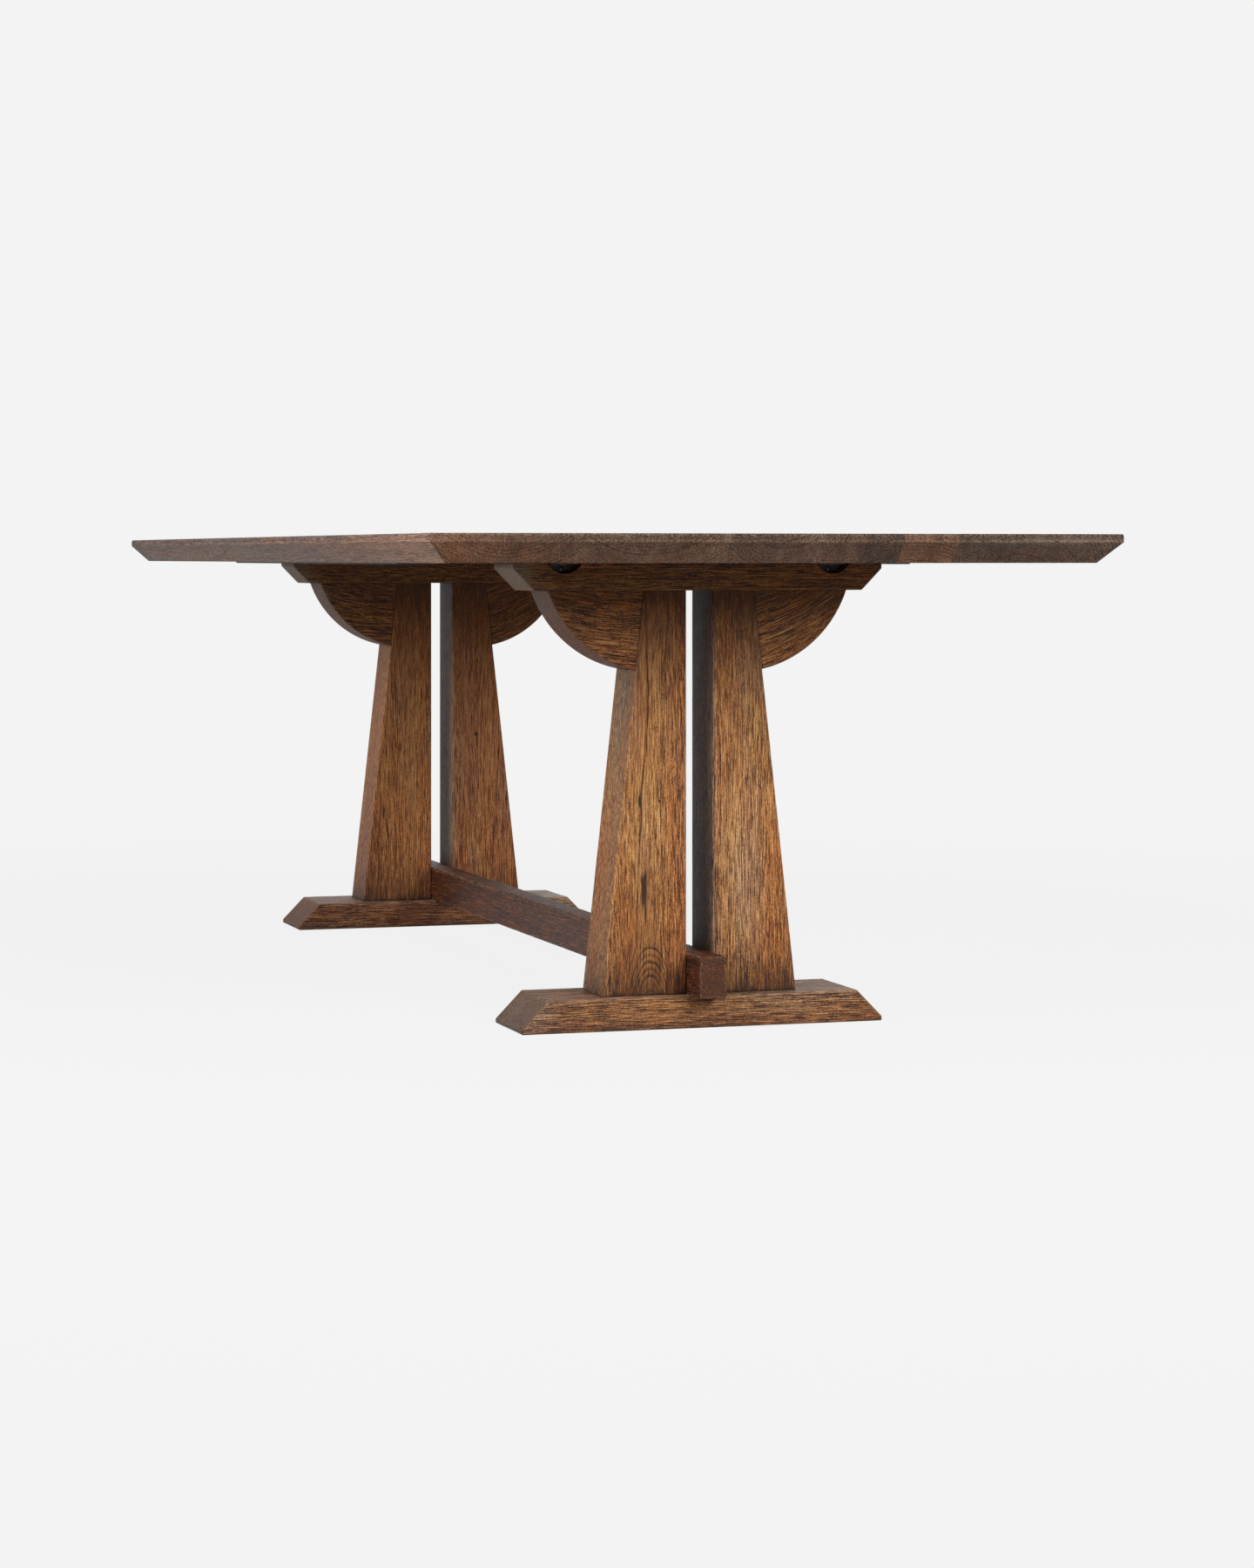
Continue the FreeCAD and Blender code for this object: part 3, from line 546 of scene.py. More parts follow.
class Nodes:
    """Short ways to add and join shader nodes."""

    def __init__(self, material):
        material.use_nodes = True
        self.tree = material.node_tree
        self.tree.nodes.clear()

    def join(self, socket, value):
        if isinstance(value, bpy.types.NodeSocket):
            self.tree.links.new(value, socket)
        else:
            socket.default_value = value

    def add(self, kind, inputs=(), **settings):
        node = self.tree.nodes.new(kind)
        for key, value in settings.items():
            setattr(node, key, value)
        for key, value in dict(inputs).items():
            self.join(node.inputs[key], value)
        return node

    def math(self, operation, first, second=0.0, clamp=False):
        node = self.add("ShaderNodeMath", {0: first, 1: second}, operation=operation, use_clamp=clamp)
        return node.outputs[0]

    def plus(self, total, value, share):
        """The total with a share of the value added."""
        return self.math("ADD", total, self.math("MULTIPLY", value, share))

    def minus(self, total, value, share):
        """The total with a share of the value taken off."""
        return self.math("SUBTRACT", total, self.math("MULTIPLY", value, share))

    def level(self, value):
        """A value of 0 to 1, moved to lie evenly about 0."""
        return self.math("SUBTRACT", value, 0.5)

    def vector(self, operation, first, second):
        return self.add("ShaderNodeVectorMath", {0: first, 1: second}, operation=operation).outputs[0]

    def length(self, vector):
        return self.add("ShaderNodeVectorMath", {0: vector}, operation="LENGTH").outputs["Value"]

    def fit(self, value, low, high, to_low=0.0, to_high=1.0):
        node = self.add("ShaderNodeMapRange", {0: value, 1: low, 2: high, 3: to_low, 4: to_high})
        return node.outputs[0]

    def cloud(self, place, scale, detail=2.0, rough=0.5, colour=False):
        """Noise stretched by a scale for each direction."""
        stretched = self.vector("MULTIPLY", place, scale)
        node = self.add("ShaderNodeTexNoise", {"Vector": stretched, "Scale": 1.0, "Detail": detail,
                                               "Roughness": rough})
        return node.outputs["Color" if colour else "Fac"]

    def pattern(self, place, name, colour=False):
        """One of the oak's noises, with its contrast raised where CONTRASTS says so."""
        value = self.cloud(place, *NOISES[name], colour)
        if name in CONTRASTS:
            value = self.fit(value, *CONTRASTS[name])
        return value

    def ramp(self, value, stops):
        node = self.add("ShaderNodeValToRGB", {0: value})
        elements = node.color_ramp.elements
        while len(elements) > 1:
            elements.remove(elements[-1])
        elements[0].position, elements[0].color = stops[0]
        for place, colour in stops[1:]:
            elements.new(place).color = colour
        return node.outputs[0]

    def mix(self, share, first, second, blend="MIX"):
        node = self.add("ShaderNodeMix", {0: share}, data_type="RGBA", blend_type=blend)
        self.join(node.inputs[6], first)
        self.join(node.inputs[7], second)
        return node.outputs[2]

    def split(self, vector):
        return self.add("ShaderNodeSeparateXYZ", {0: vector}).outputs

    def attribute(self, name, output="Vector"):
        return self.add("ShaderNodeAttribute", attribute_name=name).outputs[output]

    def object_place(self):
        return self.add("ShaderNodeTexCoord").outputs["Object"]

    def bump(self, strength, distance, height):
        inputs = {"Strength": strength, "Distance": distance, "Height": height}
        return self.add("ShaderNodeBump", inputs).outputs[0]

    def surface(self, colour, rough, bump, more=()):
        """The finished surface, with values for more of the shader's inputs."""
        inputs = {"Base Color": colour, "Roughness": rough, "Normal": bump}
        inputs.update(more)
        self.finish(self.add("ShaderNodeBsdfPrincipled", inputs).outputs[0])

    def finish(self, shader):
        self.add("ShaderNodeOutputMaterial", {"Surface": shader})


# Stained oak, dark to light: the golden frame and the greyer top
FRAME_STOPS = (
    (0.00, (30, 15, 7)),
    (0.25, (76, 42, 20)),
    (0.50, (130, 82, 42)),
    (0.75, (176, 122, 69)),
    (1.00, (214, 166, 106)),
)
TOP_STOPS = (
    (0.00, (22, 14, 11)),
    (0.25, (55, 38, 29)),
    (0.50, (98, 72, 57)),
    (0.75, (142, 108, 86)),
    (1.00, (190, 152, 122)),
)
# The plain tone and how strongly each pattern changes it, the plain roughness, the spacing of the growth
# rings and their strength on end grain, and the gloss
FRAME_SHARES = {"base": 0.585, "streak": 0.42, "dash": 0.66, "speck": 1.10, "blotch": 0.28, "band": 0.16,
                "ring": 0.34, "pore": 0.18, "end": 0.10, "rough": 0.55, "pitch": 0.0026,
                "end_rings": 0.8, "gloss": 0.25}
TOP_SHARES = {"base": 0.600, "streak": 0.34, "dash": 0.62, "speck": 1.30, "blotch": 0.40, "band": 0.30,
              "ring": 0.36, "pore": 0.14, "end": 0.04, "rough": 0.50, "pitch": 0.0050,
              "end_rings": 1.7, "gloss": 0.12}
# Noises of the oak: scales along the grain, across it and inwards, then detail and roughness
NOISES = {
    "wander": ((2.2, 9.0, 9.0), 2.0, 0.5),
    "ripple": ((18.0, 60.0, 60.0), 1.0, 0.5),
    "streak": ((7.0, 620.0, 620.0), 4.0, 0.66),
    "dash": ((32.0, 980.0, 980.0), 2.0, 0.60),
    "pore": ((120.0, 1100.0, 1100.0), 1.0, 0.5),
    "speck": ((300.0, 700.0, 700.0), 2.0, 0.6),
    "blotch": ((2.4, 15.0, 15.0), 2.0, 0.55),
    "band": ((0.9, 70.0, 70.0), 1.0, 0.5),
    "fleck": ((48.0, 230.0, 60.0), 1.0, 0.5),
    "tint": ((3.5, 24.0, 24.0), 2.0, 0.6),
    "rub": ((60.0, 300.0, 300.0), 2.0, 0.6),
    "darkening": ((30.0, 90.0, 90.0), 3.0, 0.65),
}
# The part of a noise's range that is spread over 0 to 1, turned round for the pores
CONTRASTS = {
    "streak": (0.38, 0.60),
    "dash": (0.36, 0.56),
    "pore": (0.46, 0.32),
    "fleck": (0.60, 0.70),
    "rub": (0.46, 0.62),
    "darkening": (0.36, 0.62),
}
# How far the grain wanders across a piece and inwards, as the noise strays from its middle
HALF = (0.5, 0.5, 0.5)
WANDER_REACH = (0.0, 0.014, 0.014)
RIPPLE_REACH = (0.0, 0.0015, 0.0015)
# A growth ring rises sharply and fades. Chance gives each its own darkness, up to a limit, and the dashes
# break it up
RING_RISE = 0.10
RING_FADE = 0.55
RING_CHANCE = (0.15, 0.95)
RING_DARKNESS = (0.1, 1.0)
DARKEST_RING = 2.4
RING_BREAKS = (0.15, 0.85, 1.0, 0.55)
# Strong rings and end grain calm the fine grain, end grain has more specks, and rays show as flecks
RINGED_CALM = (1.0, 3.0, 1.0, 0.55)
END_CALM = 0.60
END_SPECK_SHARE = 0.3
FLECK_SHARE = 0.25
# Redder and greyer patches: noise range, its change of the share, and the tint
RED_PATCHES = (0.40, 0.70, -0.10, 0.45)
RED_TINT = (1.08, 0.78, 0.66, 1.0)
GREY_PATCHES = (0.45, 0.75, -0.06, 0.14)
GREY_TINT = (1.10, 0.99, 0.90, 1.0)
GREY_SHARE = 0.92
# Worn edges, dirt and painted shade, of which a part is even and the rest follows its noise, and the checks
# and knots
WEAR_START = 0.35
WEAR_SHARE = 0.30
WORN_COLOUR = (190, 152, 112)
EVEN_DIRT_AND_SHADE = 0.5
DIRT_AND_SHADE_SHARE = 0.88
DIRT_AND_SHADE_COLOUR = (40, 23, 13)
HOLLOW_EDGE = (1.10, 0.75)
HOLLOW_RAGGED = 0.35
HOLLOW_SHARE = 0.92
HOLLOW_COLOUR = (26, 13, 8)
# Relief of the brushed grain, as strength and depth, and the patterns' shares in it and in the roughness
OAK_RELIEF = (0.5, 0.0007)
RELIEF = {"dash": 0.6, "hollow": 1.5, "pore": 0.5, "ring": 0.4, "streak": 0.5}
BLOTCH_ROUGH = 0.18
PORE_ROUGH = 0.10
# Beech: its noises, the range and share of its dashes, its stain, and its relief and roughness
BEECH_GRAIN = ((220.0, 14.0, 220.0), 3.0, 0.6)
BEECH_DASH = ((900.0, 120.0, 900.0), 1.0, 0.5)
BEECH_DASH_RANGE = (0.56, 0.66)
BEECH_DASH_SHARE = 0.12
BEECH_STOPS = (
    (0.25, (172, 122, 84)),
    (0.50, (206, 160, 118)),
    (0.75, (226, 186, 146)),
)
BEECH_RELIEF = (0.3, 0.0003)
BEECH_ROUGH = (0.55, 0.68)
# Metal: its noises and their ranges, how far its roughness strays from the plain one, and its relief
METAL_MOTTLE = ((90.0, 90.0, 90.0), 3.0, 0.6)
METAL_MOTTLE_RANGE = (0.38, 0.66)
METAL_GRIT = ((900.0, 900.0, 900.0), 2.0, 0.6)
METAL_GRIT_RANGE = (0.3, 0.7)
METAL_SMOOTHER = 0.08
METAL_ROUGHER = 0.10
METAL_RELIEF = (0.25, 0.0002)


def grain_wander(n, plain):
    """How far the grain strays from straight at each place."""
    wander = n.vector("SUBTRACT", n.pattern(plain, "wander", True), HALF)
    wander = n.vector("MULTIPLY", wander, WANDER_REACH)
    ripple = n.vector("SUBTRACT", n.pattern(plain, "ripple", True), HALF)
    return n.vector("ADD", wander, n.vector("MULTIPLY", ripple, RIPPLE_REACH))


def growth_rings(n, wander, end, lines, shares):
    """Growth rings round the heart of the tree, each with its own darkness."""
    place = n.split(n.vector("ADD", n.attribute("rings"), wander))
    square = n.math("ADD", n.math("MULTIPLY", place[1], place[1]), n.math("MULTIPLY", place[2], place[2]))
    turns = n.math("DIVIDE", n.math("SQRT", square), shares["pitch"])
    part = n.math("FRACT", turns)
    chance = n.add("ShaderNodeTexWhiteNoise", {"W": n.math("FLOOR", turns)}, noise_dimensions="1D")
    darkness = n.math("MULTIPLY", n.fit(chance.outputs["Value"], *RING_CHANCE, *RING_DARKNESS), lines)
    ring = n.math("MULTIPLY", n.fit(part, 0.0, RING_FADE, 1.0, 0.0), n.fit(part, 0.0, RING_RISE))
    ring = n.math("MULTIPLY", ring, n.math("MINIMUM", darkness, DARKEST_RING))
    return n.math("MULTIPLY", ring, n.fit(end, 0.0, 1.0, 1.0, shares["end_rings"]))


def grain_tone(n, patterns, ring, light, fleck, end, lines, shares):
    """How light the wood is at each place, from the dark end of the ramp to the light one."""
    calm = n.math("MULTIPLY", n.fit(lines, *RINGED_CALM), n.fit(end, 0.0, 1.0, 1.0, END_CALM))
    calm = n.math("MULTIPLY", calm, n.attribute("depth", "Fac"))
    tone = n.math("ADD", light, shares["base"])
    for name in ("streak", "dash", "speck"):
        fine = n.math("MULTIPLY", n.level(patterns[name]), shares[name])
        tone = n.plus(tone, fine, calm)
    for name in ("blotch", "band"):
        tone = n.plus(tone, n.level(patterns[name]), shares[name])
    tone = n.minus(tone, ring, shares["ring"])
    tone = n.minus(tone, patterns["pore"], shares["pore"])
    tone = n.minus(tone, end, shares["end"])
    tone = n.plus(tone, n.math("MULTIPLY", n.level(patterns["speck"]), end), END_SPECK_SHARE)
    # Flecks of the medullary rays, where a piece shows them
    return n.plus(tone, n.math("MULTIPLY", patterns["fleck"], fleck), FLECK_SHARE)


def tinted(n, colour, grain, red, grey):
    """The colour, redder or greyer in patches."""
    tints = n.split(n.pattern(grain, "tint", True))
    redder = n.math("ADD", red, n.fit(tints[0], *RED_PATCHES), clamp=True)
    greyer = n.math("ADD", grey, n.fit(tints[1], *GREY_PATCHES), clamp=True)
    colour = n.mix(redder, colour, n.mix(1.0, colour, RED_TINT, "MULTIPLY"))
    bright = n.add("ShaderNodeRGBToBW", {0: colour}).outputs[0]
    plain_grey = n.add("ShaderNodeCombineColor", {0: bright, 1: bright, 2: bright}).outputs[0]
    faded = n.mix(1.0, plain_grey, GREY_TINT, "MULTIPLY")
    return n.mix(n.math("MULTIPLY", greyer, GREY_SHARE), colour, faded)


def worn_dirty_and_shaded(n, colour, grain, wear, grime):
    """The colour, paler on worn edges and darker with dirt and painted shade."""
    rub = n.math("MULTIPLY", n.fit(wear, WEAR_START, 1.0), n.pattern(grain, "rub"))
    colour = n.mix(n.math("MULTIPLY", rub, WEAR_SHARE), colour, screen(*WORN_COLOUR))
    darkening = n.math("ADD", n.math("MULTIPLY", n.pattern(grain, "darkening"), 1 - EVEN_DIRT_AND_SHADE), EVEN_DIRT_AND_SHADE)
    darkening = n.math("MULTIPLY", darkening, grime)
    return n.mix(n.math("MULTIPLY", darkening, DIRT_AND_SHADE_SHARE), colour, screen(*DIRT_AND_SHADE_COLOUR))


def hollow_mask(n, plain, dash, marks):
    """Where the checks and knots are, with ragged edges."""
    hollow = None
    for centre, reach in marks:
        off = n.vector("DIVIDE", n.vector("SUBTRACT", plain, tuple(centre)), reach)
        away = n.plus(n.length(off), n.level(dash), HOLLOW_RAGGED)
        mask = n.fit(away, *HOLLOW_EDGE)
        hollow = mask if hollow is None else n.math("MAXIMUM", hollow, mask)
    return hollow


def oak(name, stops, shares, marks):
    """Wire-brushed stained oak that reads each piece's grain, stain, wear, dirt, and painted light and shade.
    """
    material = bpy.data.materials.new(name)
    n = Nodes(material)
    plain = n.attribute("fibre")
    light, red, grey = n.split(n.attribute("stain_and_painted_light"))
    wear, grime, fleck = n.split(n.attribute("edge"))
    end = n.attribute("end", "Fac")
    lines = n.attribute("lines", "Fac")
    wander = grain_wander(n, plain)
    grain = n.vector("ADD", plain, wander)
    patterns = {}
    for kind in ("streak", "dash", "pore", "speck", "blotch", "band", "fleck"):
        patterns[kind] = n.pattern(grain, kind)
    ring = growth_rings(n, wander, end, lines, shares)
    ring = n.math("MULTIPLY", ring, n.fit(patterns["dash"], *RING_BREAKS))
    tone = grain_tone(n, patterns, ring, light, fleck, end, lines, shares)
    colour = n.ramp(tone, [(at, screen(*shade)) for at, shade in stops])
    colour = tinted(n, colour, grain, red, grey)
    colour = worn_dirty_and_shaded(n, colour, grain, wear, grime)
    height = n.math("MULTIPLY", patterns["dash"], RELIEF["dash"])
    hollow = hollow_mask(n, plain, patterns["dash"], marks)
    if hollow is not None:
        colour = n.mix(n.math("MULTIPLY", hollow, HOLLOW_SHARE), colour, screen(*HOLLOW_COLOUR))
        height = n.minus(height, hollow, RELIEF["hollow"])
    height = n.minus(height, patterns["pore"], RELIEF["pore"])
    height = n.minus(height, ring, RELIEF["ring"])
    height = n.plus(height, patterns["streak"], RELIEF["streak"])
    rough = n.math("ADD", n.math("MULTIPLY", n.level(patterns["blotch"]), BLOTCH_ROUGH), shares["rough"])
    rough = n.plus(rough, patterns["pore"], PORE_ROUGH)
    n.surface(colour, rough, n.bump(*OAK_RELIEF, height), {"Specular IOR Level": shares["gloss"]})
    return material


def beech(name):
    """Plain beech with short fine dashes, for the hidden slip tenons."""
    material = bpy.data.materials.new(name)
    n = Nodes(material)
    place = n.object_place()
    dash = n.fit(n.cloud(place, *BEECH_DASH), *BEECH_DASH_RANGE)
    tone = n.minus(n.cloud(place, *BEECH_GRAIN), dash, BEECH_DASH_SHARE)
    colour = n.ramp(tone, [(at, screen(*shade)) for at, shade in BEECH_STOPS])
    n.surface(colour, n.fit(dash, 0.0, 1.0, *BEECH_ROUGH), n.bump(*BEECH_RELIEF, tone))
    return material


def metal(name, colour, dull, rough, metallic):
    """Metal with a mottled finish between two colours."""
    material = bpy.data.materials.new(name)
    n = Nodes(material)
    place = n.object_place()
    mottle = n.fit(n.cloud(place, *METAL_MOTTLE), *METAL_MOTTLE_RANGE)
    grit = n.cloud(place, *METAL_GRIT)
    shade = n.mix(mottle, screen(*colour), screen(*dull))
    roughness = n.fit(grit, *METAL_GRIT_RANGE, rough - METAL_SMOOTHER, rough + METAL_ROUGHER)
    n.surface(shade, roughness, n.bump(*METAL_RELIEF, grit), {"Metallic": metallic})
    return material


# The oak pieces. A heart of the tree is a list of (place along the grain, across, deep) from the middle.
# A patch, of stain or of painted light and shade as marked, is its centre, its reach along X, Y and Z, and
# its change of the first few of light, red, grey, fleck and lines. Most places were chosen one by one.
woods = {}
EVERYWHERE = 9.0


def add_wood(node, order, axis, heart, **finish):
    """Note what an oak piece looks like."""
    woods[node] = Wood(node, order, axis, heart, **finish)


# Top: each board's light, red and grey, and where the heart of its tree may lie
TOP_BOARDS = (
    ("one", -0.01, 0.30, 0.10),
    ("two", -0.03, 0.10, 0.20),
    ("three", -0.05, 0.10, 0.25),
    ("four", -0.17, 0.00, 0.35),
    ("five", 0.03, 0.50, 0.10),
    ("six", -0.12, 0.05, 0.25),
)
HEART_END = 1.3
HEART_LEAN = 0.03
HEART_ACROSS = 0.05
HEART_DEPTHS = (0.05, 0.16)
HEART_SINK = 1.5
# The upper face is a little darker than the band below it, and its arris is the darkest and greyest
FACE_REACH = 0.009
FACE_STAIN = (-0.08, 0.0, 0.08)
BAND_DROP = 0.012
BAND_REACH = 0.008
BAND_STAIN = (-0.06, 0.05)
ARRIS_REACH = 0.016
ARRIS_STAIN = (-0.16, -0.10, 0.17)


def board_patches(word):
    """The patches of stain on one board of the top."""
    patches = [
        ((0.0, 0.0, table_top), (EVERYWHERE, EVERYWHERE, FACE_REACH), FACE_STAIN),
        ((0.0, 0.0, table_top - BAND_DROP), (EVERYWHERE, EVERYWHERE, BAND_REACH), BAND_STAIN),
    ]
    for end in (-1, 1):
        place = (end * top_half_length, 0.0, table_top)
        patches.append((place, (ARRIS_REACH, EVERYWHERE, FACE_REACH), ARRIS_STAIN))
    if word in ("one", "six"):
        side = -1 if word == "one" else 1
        place = (0.0, side * top_half_width, table_top)
        patches.append((place, (EVERYWHERE, ARRIS_REACH, FACE_REACH), ARRIS_STAIN))
    # The near left corner is redder, and the near end of board six has a paler, greyer band
    if word == "one":
        place = (top_half_length, -top_half_width, 0.73)
        patches.append((place, (0.5, 0.06, 0.1), (0.20, 0.30, -0.10)))
    if word == "six":
        place = (top_half_length, 0.46, table_top - 0.010)
        patches.append((place, (0.05, 0.14, 0.008), (0.20, 0.0, 0.10)))
        place = (top_half_length, 0.40, table_top - 0.014)
        patches.append((place, (0.05, 0.22, 0.008), (0.06, 0.0, 0.35)))
    return patches


draw = random.Random(11)
for k, (word, light, red, grey) in enumerate(TOP_BOARDS):
    lean = draw.uniform(-HEART_LEAN, HEART_LEAN)
    across = draw.uniform(-HEART_ACROSS, HEART_ACROSS)
    deep = draw.choice((-1, 1)) * draw.uniform(*HEART_DEPTHS)
    heart = [(-HEART_END, across - lean, deep), (HEART_END, across + lean, deep * HEART_SINK)]
    add_wood("top_board_" + word, k, "X", heart, light=light, red=red, grey=grey, arris=BOARD_ARRIS,
             patches=board_patches(word))

# Posts. The front of the near left one shows parallel lines above and arches at its bottom
POST_HEARTS = {
    "post_near_left": [(0.045, 0.0086, 0.022), (0.13, 0.0086, 0.003), (0.40, 0.0150, 0.003),
                       (0.65, 0.0200, 0.003)],
    "post_near_right": [(0.0, 0.12, 0.10), (0.8, 0.13, 0.09)],
    "post_far_left": [(0.0, -0.03, 0.030), (0.8, -0.02, 0.010)],
    "post_far_right": [(0.0, 0.10, -0.08), (0.8, 0.12, -0.10)],
}
# The far posts' higher light is painted light, brightening them in the shade of the top
POST_OAK = {
    "near": {"light": -0.04, "red": 0.14, "lines": 1.0},
    "far": {"light": 0.06, "red": 0.60, "lines": 1.8},
}
POST_FLECK = 0.1
POST_DIRT_AND_SHADE = 1.0
# Where the posts' +X sides lie in the near and far trestles, and the right posts' sides in the slot
NEAR_FRONT = 0.828
FAR_FRONT = -0.728
SLOT_SIDE = 0.0216
# How far a patch on one side of a post goes through it, and one on the narrow side in the slot
SIDE = 0.06
SLOT = 0.006
# Painted shade: every post is darker towards the floor
LOW_SHADE = ((0.0, 0.0, 0.05), (EVERYWHERE, EVERYWHERE, 0.22), (-0.13,))
HIGH_TINT = ((0.0, 0.0, 0.69), (EVERYWHERE, EVERYWHERE, 0.11), (0.0, 0.70, -0.10))
POST_PATCHES = {
    "post_near_left": [
        ((0.83, -0.085, 0.42), (SIDE, 0.028, 0.22), (0.08, -0.10)),
        ((0.83, -0.094, 0.48), (SIDE, 0.020, 0.36), (0.05, 0.0, 0.0, 0.0, 2.6)),
        ((0.83, -0.088, 0.10), (SIDE, 0.030, 0.12), (0.10, 0.0, 0.0, 0.0, 2.6)),
        # Painted light: the upper outer side, which the side lamp reaches under the top, is paler and greyer
        ((0.78, -0.110, 0.62), (SIDE, 0.020, 0.16), (0.10, -0.35, 0.30)),
        ((0.83, -0.030, 0.35), (SIDE, 0.026, 0.40), (-0.05, 0.35)),
        ((0.78, -0.115, 0.50), (SIDE, 0.030, 0.07), (0.0, 0.0, 0.15, 0.6)),
        ((0.75, -0.140, 0.28), (0.05, 0.030, 0.26), (-0.03, 0.35)),
    ],
    "post_near_right": [
        ((0.83, 0.075, 0.25), (SIDE, 0.030, 0.16), (0.06, -0.10, 0.25)),
        ((0.83, 0.110, 0.60), (SIDE, 0.050, 0.10), (-0.02, 0.0, 0.30)),
        ((0.83, 0.140, 0.20), (SIDE, 0.030, 0.20), (0.0, 0.35)),
        ((0.83, 0.090, 0.05), (SIDE, 0.200, 0.05), (-0.14,)),
        # Painted reflection and shade on the side in the slot: slate grey above, darker and grey lower down
        ((0.77, SLOT_SIDE, 0.60), (SIDE, SLOT, 0.40), (-0.04, -0.20, 1.00)),
        ((0.77, SLOT_SIDE, 0.15), (SIDE, SLOT, 0.30), (-0.42, 0.0, 0.40)),
    ],
    "post_far_left": [
        ((-0.778, -0.155, 0.30), (SIDE, 0.025, 0.40), (-0.08, 0.20, 0.20)),
        ((FAR_FRONT, -0.080, 0.40), (0.02, 0.070, 0.40), (0.06,)),
    ],
    "post_far_right": [
        ((FAR_FRONT, 0.080, 0.40), (0.02, 0.070, 0.40), (0.08, -0.10, 0.15)),
        ((-0.73, 0.080, 0.40), (SIDE, 0.080, 0.30), (0.0, 0.35, 0.0, 0.5)),
        # Painted reflection and shade on the side in the slot: slate grey and a little darker
        ((-0.79, SLOT_SIDE, 0.35), (SIDE, SLOT, 0.80), (-0.10, -0.20, 0.90)),
    ],
}

# Wings, bearers and feet
WING_HEART = [(-0.3, 0.05, 0.08), (0.3, -0.02, 0.10)]
WING_BEND = {"left": 0.4, "right": 1.5}
WING_OAK = {"light": -0.285, "red": 0.75, "depth": 1.7}
WING_PATCHES = [
    # Painted light: the curved rim, which faces the side lamp, is paler and greyer near the top, greyer lower
    ((0.0, -0.265, 0.66), (EVERYWHERE, 0.030, 0.04), (0.14, -0.50, 0.45)),
    ((0.0, -0.245, 0.58), (EVERYWHERE, 0.025, 0.06), (-0.02, -0.20, 0.25)),
]
BEARER_HEART = [(-0.4, -0.06, 0.03), (0.4, -0.05, 0.04)]
BEARER_OAK = {"light": -0.165, "red": 0.45, "depth": 1.6}
BEARER_PATCHES = [
    # Painted shade along the top of each bearer, under the table top
    ((0.0, 0.0, 0.722), (EVERYWHERE, EVERYWHERE, 0.014), (-0.20,)),
    ((0.83, -0.04, 0.70), (0.1, 0.030, 0.02), (0.08, -0.10)),
    # Painted light: the slanted ends, which face the side lamp, are much paler and greyer
    ((0.0, -0.300, 0.69), (EVERYWHERE, 0.040, 0.06), (0.70, -0.40, 0.70)),
]
FOOT_HEART = [(-0.4, -0.05, 0.03), (0.4, -0.06, 0.01)]
FOOT_OAK = {"light": -0.27, "grey": 0.15}
FOOT_RED = {"near": 0.1, "far": 0.5}
# How far a patch on a foot goes through it
THROUGH = 0.2
FOOT_PATCHES = [
    ((0.86, -0.04, 0.045), (THROUGH, 0.12, 0.018), (0.08, -0.05, -0.10)),
    ((0.86, 0.13, 0.03), (THROUGH, 0.10, 0.05), (0.06,)),
    # Painted light: the near foot's left end, which faces the side lamp, is greyer
    ((0.78, -0.280, 0.03), (THROUGH, 0.040, 0.05), (0.08, -0.05, 0.42)),
    # Painted reflection: the feet's top faces, seen at a grazing angle, are greyer
    ((0.0, 0.0, 0.058), (EVERYWHERE, EVERYWHERE, 0.008), (0.04, -0.10, 0.65)),
    ((0.0, 0.0, 0.0), (EVERYWHERE, EVERYWHERE, 0.010), (-0.16,)),
    ((-0.78, 0.260, 0.03), (THROUGH, 0.060, 0.05), (0.40, -0.30, 0.40)),
    # Painted reflection: the far foot's top face is paler and greyer still
    ((-0.78, 0.0, 0.058), (THROUGH, EVERYWHERE, 0.008), (0.14, -0.20, 0.20)),
]
# Each trestle's pieces take the next places along the log from these
FIRST_POST = 10
POSTS_AND_WINGS = 4
FIRST_BEARER = 20
FIRST_FOOT = 21
for k, place in enumerate(("near", "far")):
    for j, hand in enumerate(("left", "right")):
        order = FIRST_POST + POSTS_AND_WINGS * k + 2 * j
        node = "post_%s_%s" % (place, hand)
        add_wood(node, order, "Z", POST_HEARTS[node], grime=POST_DIRT_AND_SHADE, fleck=POST_FLECK,
                 patches=[LOW_SHADE, HIGH_TINT] + POST_PATCHES[node], **POST_OAK[place])
        add_wood("wing_%s_%s" % (place, hand), order + 1, "Y", WING_HEART, bend=WING_BEND[hand],
                 patches=WING_PATCHES, **WING_OAK)
    add_wood("bearer_" + place, FIRST_BEARER + 2 * k, "Y", BEARER_HEART, patches=BEARER_PATCHES,
             **BEARER_OAK)
    add_wood("foot_" + place, FIRST_FOOT + 2 * k, "Y", FOOT_HEART, red=FOOT_RED[place],
             patches=FOOT_PATCHES, **FOOT_OAK)

# Stretcher: dark and red with strong rings, and paler on its near end
STRETCHER_ORDER = 30
STRETCHER_HEART = [(-1.0, -0.01, 0.05), (1.0, 0.02, 0.07)]
STRETCHER_PATCHES = [
    ((0.893, 0.0, 0.08), (0.004, 0.1, 0.1), (0.18, -0.30, 0.10)),
    ((0.0, 0.0, 0.08), (0.8, 0.1, 0.1), (-0.04, 0.35, -0.20)),
]
add_wood("stretcher", STRETCHER_ORDER, "X", STRETCHER_HEART, arris=STRETCHER_ARRIS, light=-0.50, red=0.85,
         grey=-0.20, lines=2.4, depth=1.5, patches=STRETCHER_PATCHES)

